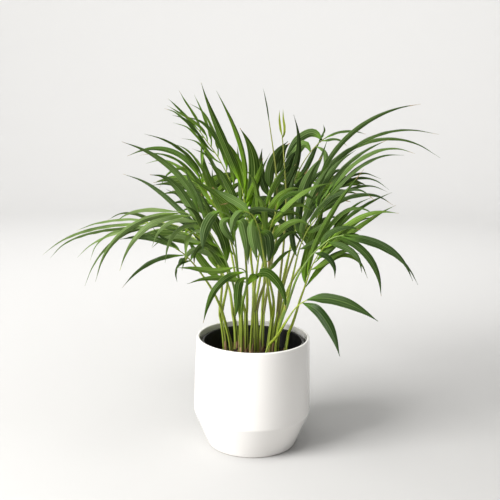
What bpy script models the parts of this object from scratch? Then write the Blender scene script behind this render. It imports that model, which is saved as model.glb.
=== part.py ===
"""A potted areca palm: a white cover pot, the black nursery pot in it, soil, sheathed canes and fronds.

Units are metres, +Z is up, +X is right and +Y is away from the viewer. The origin is the centre of the
cover pot's flat underside. A frond's route is given as the photograph shows it: a pixel of the 500 by 500
frame with a depth behind the pot's axis. sight() turns the two into a point in metres.
"""

import math
from dataclasses import dataclass

import bmesh
import bpy
from mathutils import Matrix, Vector
from mathutils.bvhtree import BVHTree
from mathutils.geometry import interpolate_bezier

# Driving dimensions of the cover pot
POT_HEIGHT = 0.1665
RIM_RADIUS = 0.085
SHOULDER_RADIUS = 0.0885
SHOULDER_HEIGHT = 0.051
FOOT_RADIUS = 0.0685
COVER_WALL = 0.0042
COVER_FLOOR = 0.006
FOOT_ROUNDING = 0.004
POT_SEGMENTS = 48
WALL_CURVE = 1.6
OUTSIDE_HEIGHTS = (0.026, 0.046, SHOULDER_HEIGHT, 0.056, 0.090, 0.130)
INSIDE_HEIGHTS = (0.130, 0.090, SHOULDER_HEIGHT, 0.026, COVER_FLOOR)

# Driving dimensions of the nursery pot and the soil
SEAT_GAP = 0.0003
LIP_BELOW_RIM = 0.007
LIP_RADIUS = 0.0775
LIP_DEPTH = 0.008
NURSERY_WALL = 0.0013
NURSERY_FOOT_RADIUS = 0.057
NURSERY_TOP_RADIUS = 0.0748
DRAIN_HOLE_RADIUS = 0.004
DRAIN_HOLE_COUNT = 6
DRAIN_HOLE_SIDES = 12
DRAIN_CIRCLE_RADIUS = 0.040
SOIL_EDGE_HEIGHT = 0.127
SOIL_CROWN = 0.008
SOIL_BUMP = 0.0012
SOIL_SEGMENTS = 32
SOIL_RING_SHARES = (1.0, 0.8, 0.6, 0.4, 0.2)
SOCKET_DEPTH = 0.016
UPRIGHT_ABOVE_SOIL = 0.005

# Driving dimensions of the canes and the leaves
CANE_SIDES = 8
CANE_SKIN = 0.0009
MOUTH_DEPTH = 0.006
STALK_FOOT_RADIUS = 0.00125
STALK_RADIUS = 0.0017
STALK_STEP = 0.022
RACHIS_START_RADIUS = 0.0015
RACHIS_TIP_RADIUS = 0.0009
ATTACH_LENGTH = 0.0036
ATTACH_GAP = 0.0012
SLOT_MARGIN = 1.5
STUB_LENGTH = 0.0036
STUB_WIDTH = 0.0042
STUB_THICKNESS = 0.0013
BLADE_THICKNESS = 0.0008
BLADE_TRUE_WIDTH = 0.0078
CLEARANCE = 0.0005
SOCKET_CLEARANCE = 0.0004
SOCKET_CUT_ABOVE = 0.020
MOUTH_SKIN = 0.0012
MOUTH_CLEARANCE = 0.00045
MOUTH_EXIT = 0.001
THIN_STALK_LENGTH = 0.008

# How canes and leaves bend. Shares are of a route's length, and leaflets lie by turns before and
# behind their frond's plane
KNEE_RISE = 0.35
KNEE_REACH = 0.22
CANE_WAIST = 0.97
LEAFLET_LEAN = 0.22
LEAN_TURN = 2.4
STUB_LEAN = 0.7
SLIDE_POWER = 1.3
ROUTE_SLIDE_GAIN = 1.6
FROND_FACE = Vector((0, -0.8, 0.6))
COMB_FACE = Vector((0, -0.2, 1))
COMB_RISE = 0.25
COMB_MIDDLE = 0.45
COMB_TAPER = 0.45
COMB_PARTS = (0.35, 0.7, 1.0)

# Fullness of a blade by its share of length, for short, middling and long leaflets
SHORT_LENGTH = 0.055
LONG_LENGTH = 0.120
SHORT_PROFILE = ((0.0, 0.0), (0.30, 1.0), (0.70, 0.74))
MIDDLE_PROFILE = ((0.0, 0.0), (0.18, 0.88), (0.48, 1.0), (0.78, 0.62))
LONG_PROFILE = ((0.0, 0.0), (0.13, 0.80), (0.36, 1.0), (0.62, 0.90), (0.85, 0.46))

# Depths tried in turn, along the lines of sight, until a leaf is clear of its neighbours
ROUTE_OPTIONS = (0, 0.006, -0.006, 0.012, -0.012, 0.018, -0.018, 0.026, -0.026, 0.036, -0.036)
DEPTH_OPTIONS = (0, 0.1, -0.1, 0.2, -0.2, 0.3, -0.3, 0.42, -0.42, 0.55, -0.55, 0.7, -0.7, 0.9, -0.9)
BULGE_OPTIONS = (0, 0.12, -0.12)

# Rings of a dry sheath: share of its height and of its radius
SHEATH_BEND_START = 0.35
SHEATH_PROFILE = ((0.0, 1.0), (0.35, 1.0), (0.7, 0.75), (0.92, 0.35))

# The view that the photograph was taken from, fitted to the rim, the foot and the table's edges
FRAME_CENTRE = 250.0
FOCAL_PIXELS = 800.0
CAMERA = Vector((-0.0069, -1.157, POT_HEIGHT + 0.367))
CAMERA_PITCH = math.radians(11.52)
CAMERA_ROLL = math.radians(0.955)


def sight_direction(across, down):
    """Direction from the camera through a pixel."""
    right = across - FRAME_CENTRE
    below = down - FRAME_CENTRE
    level_right = right * math.cos(CAMERA_ROLL) + below * math.sin(CAMERA_ROLL)
    level_below = below * math.cos(CAMERA_ROLL) - right * math.sin(CAMERA_ROLL)
    forward = Vector((0, math.cos(CAMERA_PITCH), -math.sin(CAMERA_PITCH)))
    upward = Vector((0, math.sin(CAMERA_PITCH), math.cos(CAMERA_PITCH)))
    sideways = Vector((level_right / FOCAL_PIXELS, 0, 0))
    return forward + sideways - upward * level_below / FOCAL_PIXELS


def sight(across, down, depth):
    """The point that a pixel shows, at a depth behind the pot's axis."""
    direction = sight_direction(across, down)
    return CAMERA + direction * (depth - CAMERA.y) / direction.y


def sight_on_plane(across, down, point, normal):
    """The point that a pixel shows on a plane."""
    direction = sight_direction(across, down)
    return CAMERA + direction * (point - CAMERA).dot(normal) / direction.dot(normal)


def slide_on_sight(point, depth_change):
    """Move a point along its own line of sight, so that the photographed outline stays."""
    return CAMERA + (point - CAMERA) * (1 + depth_change / (point.y - CAMERA.y))


@dataclass(frozen=True)
class Leaflet:
    """A leaflet by its share of the way along the rachis, its seen width and the pixels it runs through."""

    share: float
    width: float
    pixels: tuple


@dataclass(frozen=True)
class Comb:
    """Leaflets that the photograph hides: pairs at even steps, by rule."""

    pairs: int
    length: float
    width: float
    spread: float = 50.0
    sag: float = 0.35


@dataclass(frozen=True)
class Cane:
    """A sheathed cane: where it stands on the soil, and the pixel and depth of its mouth."""

    name: str
    foot: tuple
    mouth: tuple
    radius: float


@dataclass(frozen=True)
class Frond:
    """A frond: its cane, the side of the cane's mouth it leaves by, its stalk, rachis and leaflets."""

    name: str
    cane: str
    mouth_angle: float
    stalk: tuple
    rachis: tuple
    leaflets: tuple = ()
    comb: Comb = None


def leaf(share, width, *pixels):
    """Shorthand for a leaflet in the lists below. The last pixel is its tip."""
    return Leaflet(share, width, pixels)


CANES = (
    Cane("cane_left_outer", (-0.042, 0.006), (221, 318, 0.006), 0.0044),
    Cane("cane_left_front", (-0.032, -0.006), (226, 325, -0.010), 0.0031),
    Cane("cane_centre_left", (-0.017, -0.014), (241, 317, -0.020), 0.0048),
    Cane("cane_centre_thin", (-0.003, -0.012), (252, 328, -0.014), 0.0031),
    Cane("cane_centre_back", (-0.011, 0.017), (246, 314, 0.022), 0.0045),
    Cane("cane_centre", (0.006, 0.000), (256, 313, 0.000), 0.0048),
    Cane("cane_centre_right", (0.013, 0.019), (263, 314, 0.026), 0.0045),
    Cane("cane_right_dark", (0.024, -0.008), (272, 320, -0.012), 0.0045),
    Cane("cane_right_yellow", (0.030, 0.012), (278, 315, 0.014), 0.0048),
    Cane("cane_right_thin", (0.0495, -0.002), (288, 336, -0.004), 0.0031),
    Cane("cane_right_front", (0.034, -0.024), (278, 332, -0.027), 0.0045),
    Cane("cane_low_leaf", (0.018, -0.030), (269, 346, -0.032), 0.0031),
    Cane("cane_back_left", (-0.026, 0.038), (234, 318, 0.044), 0.0045),
    Cane("cane_back_middle", (0.004, 0.044), (254, 318, 0.052), 0.0045),
    Cane("cane_back_right", (0.034, 0.038), (279, 318, 0.046), 0.0045),
)

LEFT_FRONDS = (
    Frond(
        "frond_left_low", "cane_left_front", 180,
        stalk=((216, 297, -0.022), (203, 276, -0.036), (191, 261, -0.046)),
        rachis=((184, 254, -0.052), (175, 248, -0.057)),
        leaflets=(
            leaf(0.05, 0.0045, (178, 262), (175, 270), (177, 282)),
            leaf(0.10, 0.0060, (194, 250), (206, 248)),
            leaf(0.25, 0.0045, (182, 258), (178, 266)),
            leaf(0.45, 0.0065, (165, 255), (149, 261), (136, 273), (122, 287)),
            leaf(0.75, 0.0045, (160, 239), (145, 232)),
            leaf(0.90, 0.0035, (163, 238), (152, 226)),
            leaf(1.00, 0.0080, (162, 241), (146, 237), (120, 239)),
        ),
    ),
    Frond(
        "frond_left_long", "cane_left_outer", 200,
        stalk=((221, 298, 0.000), (222, 282, -0.008)),
        rachis=(
            (218, 262, -0.016),
            (203, 241, -0.024),
            (185, 229, -0.030),
            (165, 223, -0.036),
            (143, 223, -0.042),
        ),
        leaflets=(
            leaf(0.04, 0.0105, (205, 264), (195, 251), (186, 237)),
            leaf(0.12, 0.0085, (207, 244), (196, 228), (182, 216)),
            leaf(0.25, 0.0075, (194, 246), (186, 258), (182, 270)),
            leaf(0.42, 0.0060, (178, 233), (166, 238), (152, 247)),
            leaf(0.58, 0.0035, (165, 225), (148, 229)),
            leaf(0.66, 0.0050, (148, 215), (128, 212), (108, 219)),
            leaf(0.78, 0.0040, (125, 228), (103, 250), (85, 285)),
            leaf(0.84, 0.0030, (120, 226), (100, 240), (90, 260)),
            leaf(0.90, 0.0035, (122, 228), (100, 239), (77, 257)),
            leaf(0.95, 0.0030, (115, 221), (95, 222), (76, 230)),
            leaf(0.98, 0.0035, (105, 227), (80, 235), (63, 246), (50, 257)),
            leaf(1.00, 0.0045, (110, 225), (80, 231), (60, 241), (43, 254)),
        ),
    ),
    Frond(
        "frond_left_arch", "cane_centre_left", 190,
        stalk=((236, 297, -0.036), (231, 276, -0.052)),
        rachis=(
            (222, 253, -0.064),
            (210, 235, -0.070),
            (198, 221, -0.075),
            (186, 213, -0.080),
            (174, 211, -0.083),
        ),
        leaflets=(
            leaf(0.06, 0.0130, (221, 258), (209, 243), (195, 229)),
            leaf(0.22, 0.0085, (204, 240), (196, 250), (194, 266)),
            leaf(0.38, 0.0085, (202, 222), (194, 212), (184, 205)),
            leaf(0.55, 0.0060, (190, 226), (188, 245), (186, 262)),
            leaf(0.62, 0.0065, (184, 220), (173, 235), (168, 247), (165, 262)),
            leaf(0.72, 0.0065, (174, 216), (163, 226), (152, 246)),
            leaf(0.82, 0.0075, (158, 217), (141, 231), (128, 250), (120, 270)),
            leaf(0.92, 0.0075, (150, 215), (128, 225), (108, 249), (95, 280)),
            leaf(1.00, 0.0055, (155, 209), (135, 210), (115, 221)),
        ),
    ),
    Frond(
        "frond_left_mid", "cane_left_outer", 20,
        stalk=((225, 297, 0.010), (228, 278, 0.008)),
        rachis=((224, 258, 0.004), (214, 239, 0.000), (205, 224, -0.004), (199, 214, -0.007)),
        leaflets=(
            leaf(0.10, 0.0110, (212, 248), (198, 240), (188, 228)),
            leaf(0.22, 0.0145, (223, 240), (217, 226), (209, 208), (201, 193)),
            leaf(0.42, 0.0080, (196, 226), (182, 224), (166, 218)),
            leaf(0.58, 0.0085, (182, 209), (156, 189), (123, 173)),
            leaf(0.68, 0.0055, (190, 206), (178, 196), (166, 188)),
            leaf(0.80, 0.0125, (192, 206), (177, 187), (166, 177), (150, 174)),
            leaf(0.90, 0.0070, (199, 200), (190, 181), (184, 166)),
            leaf(1.00, 0.0085, (190, 188), (172, 168), (148, 152), (122, 141)),
        ),
    ),
    Frond(
        "frond_left_high", "cane_centre_back", 180,
        stalk=((240, 292, 0.026), (236, 262, 0.030)),
        rachis=((229, 236, 0.032), (219, 214, 0.034), (209, 196, 0.036), (201, 182, 0.038)),
        leaflets=(
            leaf(0.08, 0.0085, (218, 228), (204, 218), (196, 204)),
            leaf(0.20, 0.0085, (222, 206), (214, 184), (212, 166)),
            leaf(0.32, 0.0070, (206, 210), (192, 208), (176, 214)),
            leaf(0.44, 0.0135, (210, 190), (204, 164), (202, 139)),
            leaf(0.56, 0.0065, (198, 190), (186, 186), (172, 190)),
            leaf(0.66, 0.0070, (196, 172), (182, 164), (168, 173), (159, 187)),
            leaf(0.74, 0.0045, (202, 166), (205, 152), (209, 142)),
            leaf(0.82, 0.0045, (190, 164), (168, 155), (140, 155)),
            leaf(0.87, 0.0040, (196, 160), (184, 146), (172, 143)),
            leaf(0.92, 0.0045, (186, 168), (166, 160), (146, 163)),
            leaf(0.96, 0.0045, (188, 156), (170, 141), (144, 133)),
            leaf(1.00, 0.0085, (192, 165), (178, 153), (160, 147), (143, 151), (127, 155)),
        ),
    ),
    Frond(
        "frond_upper_left", "cane_centre_back", 0,
        stalk=((247, 285, 0.032), (245, 250, 0.042), (241, 220, 0.050)),
        rachis=(
            (236, 198, 0.055),
            (227, 174, 0.059),
            (216, 154, 0.063),
            (206, 140, 0.067),
            (198, 129, 0.070),
        ),
        leaflets=(
            leaf(0.05, 0.0060, (226, 196), (212, 188), (198, 186)),
            leaf(0.14, 0.0075, (238, 176), (240, 160), (237, 145)),
            leaf(0.24, 0.0045, (214, 164), (204, 153), (192, 148)),
            leaf(0.34, 0.0065, (226, 156), (222, 142), (214, 129)),
            leaf(0.42, 0.0045, (206, 149), (196, 141), (182, 138)),
            leaf(0.50, 0.0070, (217, 142), (211, 130), (200, 119), (186, 116)),
            leaf(0.60, 0.0040, (200, 136), (188, 128), (173, 122)),
            leaf(0.66, 0.0045, (212, 130), (208, 116), (200, 107), (190, 103)),
            leaf(0.72, 0.0040, (200, 131), (188, 121), (172, 114)),
            leaf(0.78, 0.0035, (206, 122), (202, 108), (194, 94)),
            leaf(0.84, 0.0045, (199, 125), (184, 115), (167, 105)),
            leaf(0.90, 0.0035, (190, 121), (178, 114), (164, 108)),
            leaf(0.96, 0.0035, (194, 115), (186, 101), (179, 90)),
            leaf(1.00, 0.0040, (190, 119), (180, 109), (168, 98)),
        ),
    ),
)

MIDDLE_FRONDS = (
    Frond(
        "frond_front_low", "cane_centre_left", 310,
        stalk=((243, 301, -0.036), (246, 288, -0.050)),
        rachis=((247, 276, -0.062), (243, 269, -0.070), (234, 267, -0.077)),
        leaflets=(
            leaf(0.05, 0.0125, (258, 267), (273, 275), (283, 294), (286, 311)),
            leaf(0.20, 0.0080, (230, 279), (208, 278), (187, 283)),
            leaf(0.38, 0.0115, (242, 278), (238, 299), (235, 318)),
            leaf(0.60, 0.0095, (220, 279), (211, 299), (203, 323)),
            leaf(1.00, 0.0080, (216, 273), (198, 268), (177, 267)),
        ),
    ),
    Frond(
        "frond_front_arch", "cane_centre_left", 70,
        stalk=((240, 292, -0.034), (237, 262, -0.050), (235, 238, -0.060)),
        rachis=((232, 222, -0.066), (227, 213, -0.072), (220, 211, -0.077)),
        leaflets=(
            leaf(0.12, 0.0075, (242, 209), (258, 208), (272, 212), (285, 212)),
            leaf(0.22, 0.0085, (246, 208), (266, 212), (289, 228), (307, 249)),
            leaf(0.42, 0.0140, (237, 217), (245, 234), (248, 264)),
            leaf(0.60, 0.0100, (221, 222), (228, 233), (235, 247)),
            leaf(1.00, 0.0130, (211, 218), (204, 232), (203, 252)),
        ),
    ),
    Frond(
        "frond_centre_hanging", "cane_right_dark", 150,
        stalk=((269, 296, -0.032), (265, 266, -0.050), (261, 240, -0.060)),
        rachis=((257, 224, -0.067), (251, 214, -0.073), (244, 211, -0.077)),
        leaflets=(
            leaf(0.22, 0.0130, (265, 231), (270, 247), (268, 266)),
            leaf(0.45, 0.0140, (258, 231), (262, 248), (264, 268)),
            leaf(0.65, 0.0110, (251, 229), (254, 246), (257, 262)),
            leaf(0.85, 0.0100, (237, 203), (226, 196), (212, 187)),
            leaf(1.00, 0.0090, (238, 213), (233, 222), (231, 236)),
        ),
    ),
    Frond(
        "frond_centre_up", "cane_centre", 150,
        stalk=((254, 284, -0.004), (250, 252, -0.002), (248, 228, 0.002)),
        rachis=((246, 214, 0.005), (244, 200, 0.008), (242, 188, 0.011)),
        leaflets=(
            leaf(0.05, 0.0055, (262, 200), (279, 183), (296, 163)),
            leaf(0.14, 0.0095, (232, 204), (212, 192), (190, 178)),
            leaf(0.26, 0.0060, (254, 190), (263, 168), (270, 152)),
            leaf(0.36, 0.0105, (233, 192), (224, 176), (208, 162)),
            leaf(0.48, 0.0165, (252, 186), (255, 160), (240, 127)),
            leaf(0.60, 0.0075, (250, 190), (260, 172), (263, 157)),
            leaf(0.72, 0.0095, (240, 170), (234, 152), (221, 134)),
            leaf(0.86, 0.0075, (244, 165), (234, 125), (216, 90)),
            leaf(1.00, 0.0115, (236, 170), (222, 138), (209, 106), (201, 82)),
        ),
    ),
    Frond(
        "frond_centre_fill", "cane_centre_thin", 0,
        stalk=((254, 296, -0.022), (258, 262, -0.032)),
        rachis=((261, 240, -0.036), (263, 222, -0.039), (266, 206, -0.042)),
        leaflets=(
            leaf(0.08, 0.0080, (253, 232), (246, 226), (240, 230)),
            leaf(0.18, 0.0080, (270, 228), (277, 220), (285, 217)),
            leaf(0.36, 0.0095, (252, 214), (238, 204), (220, 204)),
            leaf(0.46, 0.0090, (276, 214), (292, 212), (306, 222)),
            leaf(0.70, 0.0080, (259, 200), (255, 182), (244, 168)),
            leaf(0.84, 0.0075, (274, 198), (288, 190), (304, 188)),
            leaf(1.00, 0.0070, (270, 192), (278, 176), (290, 164)),
        ),
    ),
    Frond(
        "frond_back_centre", "cane_centre_right", 170,
        stalk=((264, 284, 0.046), (266, 250, 0.062), (267, 222, 0.072)),
        rachis=((269, 204, 0.080), (272, 188, 0.086), (276, 174, 0.090)),
        leaflets=(
            leaf(0.10, 0.0120, (254, 206), (246, 190), (243, 172)),
            leaf(0.22, 0.0110, (284, 202), (298, 186), (308, 168)),
            leaf(0.40, 0.0095, (286, 184), (299, 160), (298, 135), (294, 114)),
            leaf(0.52, 0.0120, (264, 182), (260, 166), (262, 148)),
            leaf(0.68, 0.0140, (272, 168), (276, 152), (288, 141)),
            leaf(0.80, 0.0120, (286, 168), (292, 156), (300, 148)),
            leaf(1.00, 0.0165, (278, 164), (281, 152), (290, 143)),
        ),
    ),
)

RIGHT_FRONDS = (
    Frond(
        "frond_back_right", "cane_centre_right", 350,
        stalk=((269, 280, 0.052), (276, 240, 0.076), (286, 204, 0.092)),
        rachis=((294, 182, 0.100), (303, 163, 0.106), (314, 148, 0.111), (325, 138, 0.116)),
        leaflets=(
            leaf(0.08, 0.0085, (304, 188), (316, 176), (328, 166)),
            leaf(0.20, 0.0095, (284, 182), (277, 194), (272, 208)),
            leaf(0.34, 0.0080, (307, 164), (315, 150), (322, 138)),
            leaf(0.48, 0.0120, (296, 164), (290, 178), (285, 195)),
            leaf(0.74, 0.0130, (309, 142), (298, 151), (288, 165), (279, 182)),
            leaf(0.84, 0.0055, (325, 149), (325, 160), (321, 172)),
            leaf(0.90, 0.0035, (324, 133), (323, 124)),
            leaf(0.95, 0.0035, (333, 137), (341, 140), (347, 146)),
            leaf(0.98, 0.0125, (316, 132), (304, 134), (293, 146), (284, 162)),
            leaf(1.00, 0.0035, (336, 132), (350, 130), (366, 134)),
        ),
    ),
    Frond(
        "frond_right_upper", "cane_right_yellow", 60,
        stalk=((282, 286, 0.020), (288, 258, 0.026), (294, 236, 0.032)),
        rachis=((300, 218, 0.036), (307, 202, 0.040), (316, 187, 0.044)),
        leaflets=(
            leaf(0.08, 0.0110, (292, 208), (290, 190), (296, 170)),
            leaf(0.22, 0.0080, (314, 204), (326, 194), (342, 194)),
            leaf(0.40, 0.0140, (304, 191), (309, 173), (322, 156)),
            leaf(0.55, 0.0075, (322, 184), (336, 170), (352, 170)),
            leaf(0.68, 0.0060, (316, 172), (320, 156), (328, 138)),
            leaf(0.76, 0.0070, (324, 172), (340, 154), (366, 143)),
            leaf(0.84, 0.0065, (330, 166), (354, 145), (385, 136), (412, 142), (440, 156)),
            leaf(0.92, 0.0060, (332, 163), (356, 142), (382, 131), (410, 131), (439, 133)),
            leaf(1.00, 0.0075, (325, 166), (341, 142), (370, 119), (392, 110), (421, 104)),
        ),
    ),
    Frond(
        "frond_right_mid", "cane_right_yellow", 300,
        stalk=((283, 288, 0.006), (291, 262, 0.000), (299, 242, -0.004)),
        rachis=((307, 225, -0.007), (317, 209, -0.010), (330, 193, -0.013)),
        leaflets=(
            leaf(0.08, 0.0110, (300, 218), (300, 200), (306, 184)),
            leaf(0.18, 0.0070, (318, 222), (330, 216), (342, 220)),
            leaf(0.32, 0.0110, (314, 196), (322, 176), (334, 160)),
            leaf(0.44, 0.0055, (330, 200), (348, 188), (372, 186), (387, 191)),
            leaf(0.56, 0.0055, (332, 188), (354, 176), (372, 179), (389, 189)),
            leaf(0.66, 0.0070, (326, 180), (340, 160), (356, 150)),
            leaf(0.74, 0.0050, (340, 182), (362, 171), (381, 178)),
            leaf(0.81, 0.0055, (342, 178), (362, 164), (383, 156), (404, 154)),
            leaf(0.88, 0.0050, (342, 174), (360, 159), (388, 149)),
            leaf(0.94, 0.0055, (342, 170), (360, 153), (389, 139)),
            leaf(1.00, 0.0060, (344, 172), (366, 154), (390, 147), (415, 153)),
        ),
    ),
    Frond(
        "frond_right_pale", "cane_right_dark", 330,
        stalk=((273, 296, -0.026), (268, 276, -0.034)),
        rachis=((266, 262, -0.038), (267, 244, -0.044), (271, 226, -0.048), (276, 212, -0.051)),
        leaflets=(
            leaf(0.08, 0.0060, (276, 260), (286, 252), (296, 248)),
            leaf(0.22, 0.0075, (278, 240), (290, 232), (304, 234)),
            leaf(0.52, 0.0085, (282, 226), (296, 220), (312, 226)),
            leaf(0.64, 0.0080, (266, 214), (260, 200), (250, 192)),
            leaf(0.76, 0.0075, (282, 206), (298, 204), (314, 212)),
            leaf(0.88, 0.0060, (288, 200), (308, 190), (332, 182)),
            leaf(1.00, 0.0070, (284, 194), (297, 191), (309, 196), (320, 207)),
        ),
    ),
    Frond(
        "frond_right_arch", "cane_right_front", 120,
        stalk=((285, 308, -0.028), (291, 284, -0.028), (296, 262, -0.028)),
        rachis=((301, 244, -0.029), (309, 228, -0.030), (320, 214, -0.030)),
        leaflets=(
            leaf(0.10, 0.0085, (294, 238), (290, 222), (294, 206)),
            leaf(0.25, 0.0080, (314, 242), (328, 236), (342, 238)),
            leaf(0.42, 0.0085, (306, 220), (310, 204), (318, 192)),
            leaf(0.58, 0.0070, (322, 224), (336, 222), (350, 230)),
            leaf(0.74, 0.0065, (322, 206), (328, 196), (338, 187)),
            leaf(0.88, 0.0050, (330, 200), (346, 189), (364, 190), (375, 200)),
            leaf(1.00, 0.0060, (336, 203), (357, 194), (377, 195), (393, 205)),
        ),
    ),
    Frond(
        "frond_right_lower", "cane_right_thin", 0,
        stalk=((294, 320, -0.012), (299, 303, -0.020), (304, 289, -0.028)),
        rachis=((308, 277, -0.034), (313, 264, -0.039), (320, 252, -0.044), (329, 241, -0.048)),
        leaflets=(
            leaf(0.04, 0.0070, (322, 262), (338, 252), (356, 256), (368, 278)),
            leaf(0.10, 0.0165, (309, 258), (316, 230), (324, 202)),
            leaf(0.26, 0.0080, (320, 240), (333, 210), (348, 188), (364, 168)),
            leaf(0.40, 0.0070, (330, 256), (344, 250), (360, 254)),
            leaf(0.52, 0.0075, (328, 238), (342, 216), (372, 197)),
            leaf(0.62, 0.0080, (338, 240), (352, 234), (366, 238)),
            leaf(0.70, 0.0075, (346, 233), (372, 219), (396, 205)),
            leaf(0.78, 0.0060, (336, 220), (351, 206), (366, 209), (377, 217)),
            leaf(0.86, 0.0060, (343, 230), (360, 221), (374, 216)),
            leaf(0.93, 0.0055, (343, 223), (362, 206), (392, 192)),
            leaf(1.00, 0.0070, (342, 229), (368, 213), (399, 212)),
        ),
    ),
    Frond(
        "frond_right_droop", "cane_right_front", 300,
        stalk=((288, 304, -0.038), (298, 276, -0.052), (311, 256, -0.062)),
        rachis=((321, 246, -0.068), (332, 238, -0.074), (344, 235, -0.079)),
        leaflets=(
            leaf(0.12, 0.0080, (328, 256), (334, 266), (335, 278)),
            leaf(0.35, 0.0070, (336, 230), (348, 226), (361, 230)),
            leaf(0.55, 0.0080, (346, 246), (358, 258), (362, 272)),
            leaf(0.80, 0.0100, (356, 243), (371, 259), (378, 276), (381, 296)),
            leaf(0.93, 0.0060, (362, 240), (386, 247), (405, 264), (418, 284)),
            leaf(1.00, 0.0085, (360, 239), (382, 243), (400, 257), (413, 280)),
        ),
    ),
    Frond(
        "leaf_low_bifid", "cane_low_leaf", 0,
        stalk=((278, 335, -0.040), (285, 323, -0.048), (294, 311, -0.058)),
        rachis=((300, 304, -0.064), (307, 300, -0.070)),
        leaflets=(
            leaf(0.70, 0.014, (318, 309), (330, 328), (340, 356)),
            leaf(1.00, 0.014, (326, 298), (350, 304), (378, 321)),
        ),
    ),
)

BACK_FRONDS = (
    Frond(
        "frond_back_left_high", "cane_back_left", 20,
        stalk=((236, 285, 0.064), (230, 248, 0.086), (222, 218, 0.106)),
        rachis=((216, 206, 0.122), (210, 193, 0.144), (206, 185, 0.168), (204, 181, 0.192)),
        comb=Comb(pairs=6, length=0.110, width=0.0105),
    ),
    Frond(
        "frond_back_left_low", "cane_back_left", 200,
        stalk=((228, 285, 0.062), (215, 262, 0.082), (203, 247, 0.102)),
        rachis=((194, 238, 0.120), (186, 233, 0.142), (179, 231, 0.166)),
        comb=Comb(pairs=5, length=0.095, width=0.0105),
    ),
    Frond(
        "frond_back_middle_high", "cane_back_middle", 120,
        stalk=((253, 284, 0.074), (251, 254, 0.102), (250, 230, 0.128)),
        rachis=((249, 218, 0.148), (248, 209, 0.174), (247, 203, 0.202), (246, 201, 0.228)),
        comb=Comb(pairs=6, length=0.100, width=0.0100, sag=0.42),
    ),
    Frond(
        "frond_back_middle_low", "cane_back_middle", 300,
        stalk=((259, 285, 0.076), (264, 258, 0.104), (268, 241, 0.132)),
        rachis=((270, 233, 0.154), (272, 229, 0.178), (274, 228, 0.204)),
        comb=Comb(pairs=5, length=0.100, width=0.0105),
    ),
    Frond(
        "frond_back_right_high", "cane_back_right", 150,
        stalk=((284, 282, 0.066), (291, 244, 0.090), (299, 212, 0.112)),
        rachis=((305, 202, 0.130), (311, 191, 0.152), (316, 184, 0.176), (319, 180, 0.200)),
        comb=Comb(pairs=6, length=0.105, width=0.0105),
    ),
    Frond(
        "frond_back_right_low", "cane_back_right", 330,
        stalk=((289, 287, 0.064), (302, 265, 0.086), (312, 251, 0.106)),
        rachis=((318, 244, 0.124), (324, 239, 0.146), (330, 237, 0.170)),
        comb=Comb(pairs=5, length=0.090, width=0.0105),
    ),
)

# Rolled young leaves: a thin stalk that ends in a point
SPEARS = (
    Frond(
        "spear_leaf", "cane_right_yellow", 180,
        stalk=((280, 280, 0.012), (284, 240, 0.012), (286, 195, 0.012), (284, 160, 0.012)),
        rachis=((283, 145, 0.012), (282, 134, 0.012)),
        leaflets=(
            leaf(0.85, 0.0035, (284.5, 124), (283.5, 115), (283, 109)),
            leaf(1.00, 0.0045, (281, 126), (280, 118), (279.5, 110)),
        ),
    ),
    Frond(
        "needle_leaf", "cane_centre", 30,
        stalk=((268, 272, 0.008), (274, 225, 0.016), (277, 182, 0.022), (273, 150, 0.026)),
        rachis=((271, 135, 0.028), (269, 120, 0.029)),
        leaflets=(leaf(1.0, 0.003, (268, 110), (266, 100), (263, 88)),),
    ),
)

FRONDS = LEFT_FRONDS + MIDDLE_FRONDS + RIGHT_FRONDS + SPEARS + BACK_FRONDS


@dataclass(frozen=True)
class DrySheath:
    """A dead sheath left standing in the soil, by its foot, its height, its lean and its radius."""

    name: str
    foot: tuple
    height: float
    lean: tuple
    radius: float


DRY_SHEATHS = (
    DrySheath("dry_sheath_middle", (0.003, 0.024), 0.034, (0.002, 0.002), 0.0032),
    DrySheath("dry_sheath_left", (-0.019, -0.002), 0.046, (-0.003, 0.002), 0.0030),
    DrySheath("dry_sheath_right", (0.022, 0.008), 0.040, (0.002, 0.001), 0.0028),
)


def soil_height(x, y):
    """Height of the soil's top: a low mound with gentle bumps."""
    edge = NURSERY_TOP_RADIUS
    mound = SOIL_CROWN * max(0.0, 1 - (x * x + y * y) / (edge * edge))
    bumps = math.sin(x * 210 + 0.7) * math.cos(y * 170) + 0.6 * math.sin(x * 90 - y * 260)
    return SOIL_EDGE_HEIGHT + mound + SOIL_BUMP * bumps


class Curve:
    """A smooth route through points, read by its share of length."""

    STEPS = 20

    def __init__(self, points):
        self.samples = [points[0].copy()]
        tangents = self.tangents(points)
        for index in range(len(points) - 1):
            start, end = points[index], points[index + 1]
            reach = (end - start).length / 3
            handles = (start + tangents[index] * reach, end - tangents[index + 1] * reach)
            self.samples += interpolate_bezier(start, *handles, end, self.STEPS)[1:]
        self.lengths = [0.0]
        for before, after in zip(self.samples, self.samples[1:]):
            self.lengths.append(self.lengths[-1] + (after - before).length)
        self.length = self.lengths[-1]

    @staticmethod
    def tangents(points):
        """Unit directions at the points, each weighted toward its shorter span."""
        spans = [after - before for before, after in zip(points, points[1:])]
        result = [spans[0].normalized()]
        for before, after in zip(spans, spans[1:]):
            blend = before.normalized() * after.length + after.normalized() * before.length
            result.append(blend.normalized())
        return result + [spans[-1].normalized()]

    def at(self, share):
        """Point at a share of the length."""
        goal = min(max(share, 0.0), 1.0) * self.length
        for index in range(1, len(self.lengths)):
            if self.lengths[index] >= goal:
                span = self.lengths[index] - self.lengths[index - 1]
                weight = (goal - self.lengths[index - 1]) / span if span else 0.0
                return self.samples[index - 1].lerp(self.samples[index], weight)
        return self.samples[-1].copy()

    def direction(self, share):
        """Unit direction at a share of the length."""
        step = 0.01
        return (self.at(share + step) - self.at(share - step)).normalized()


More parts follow.
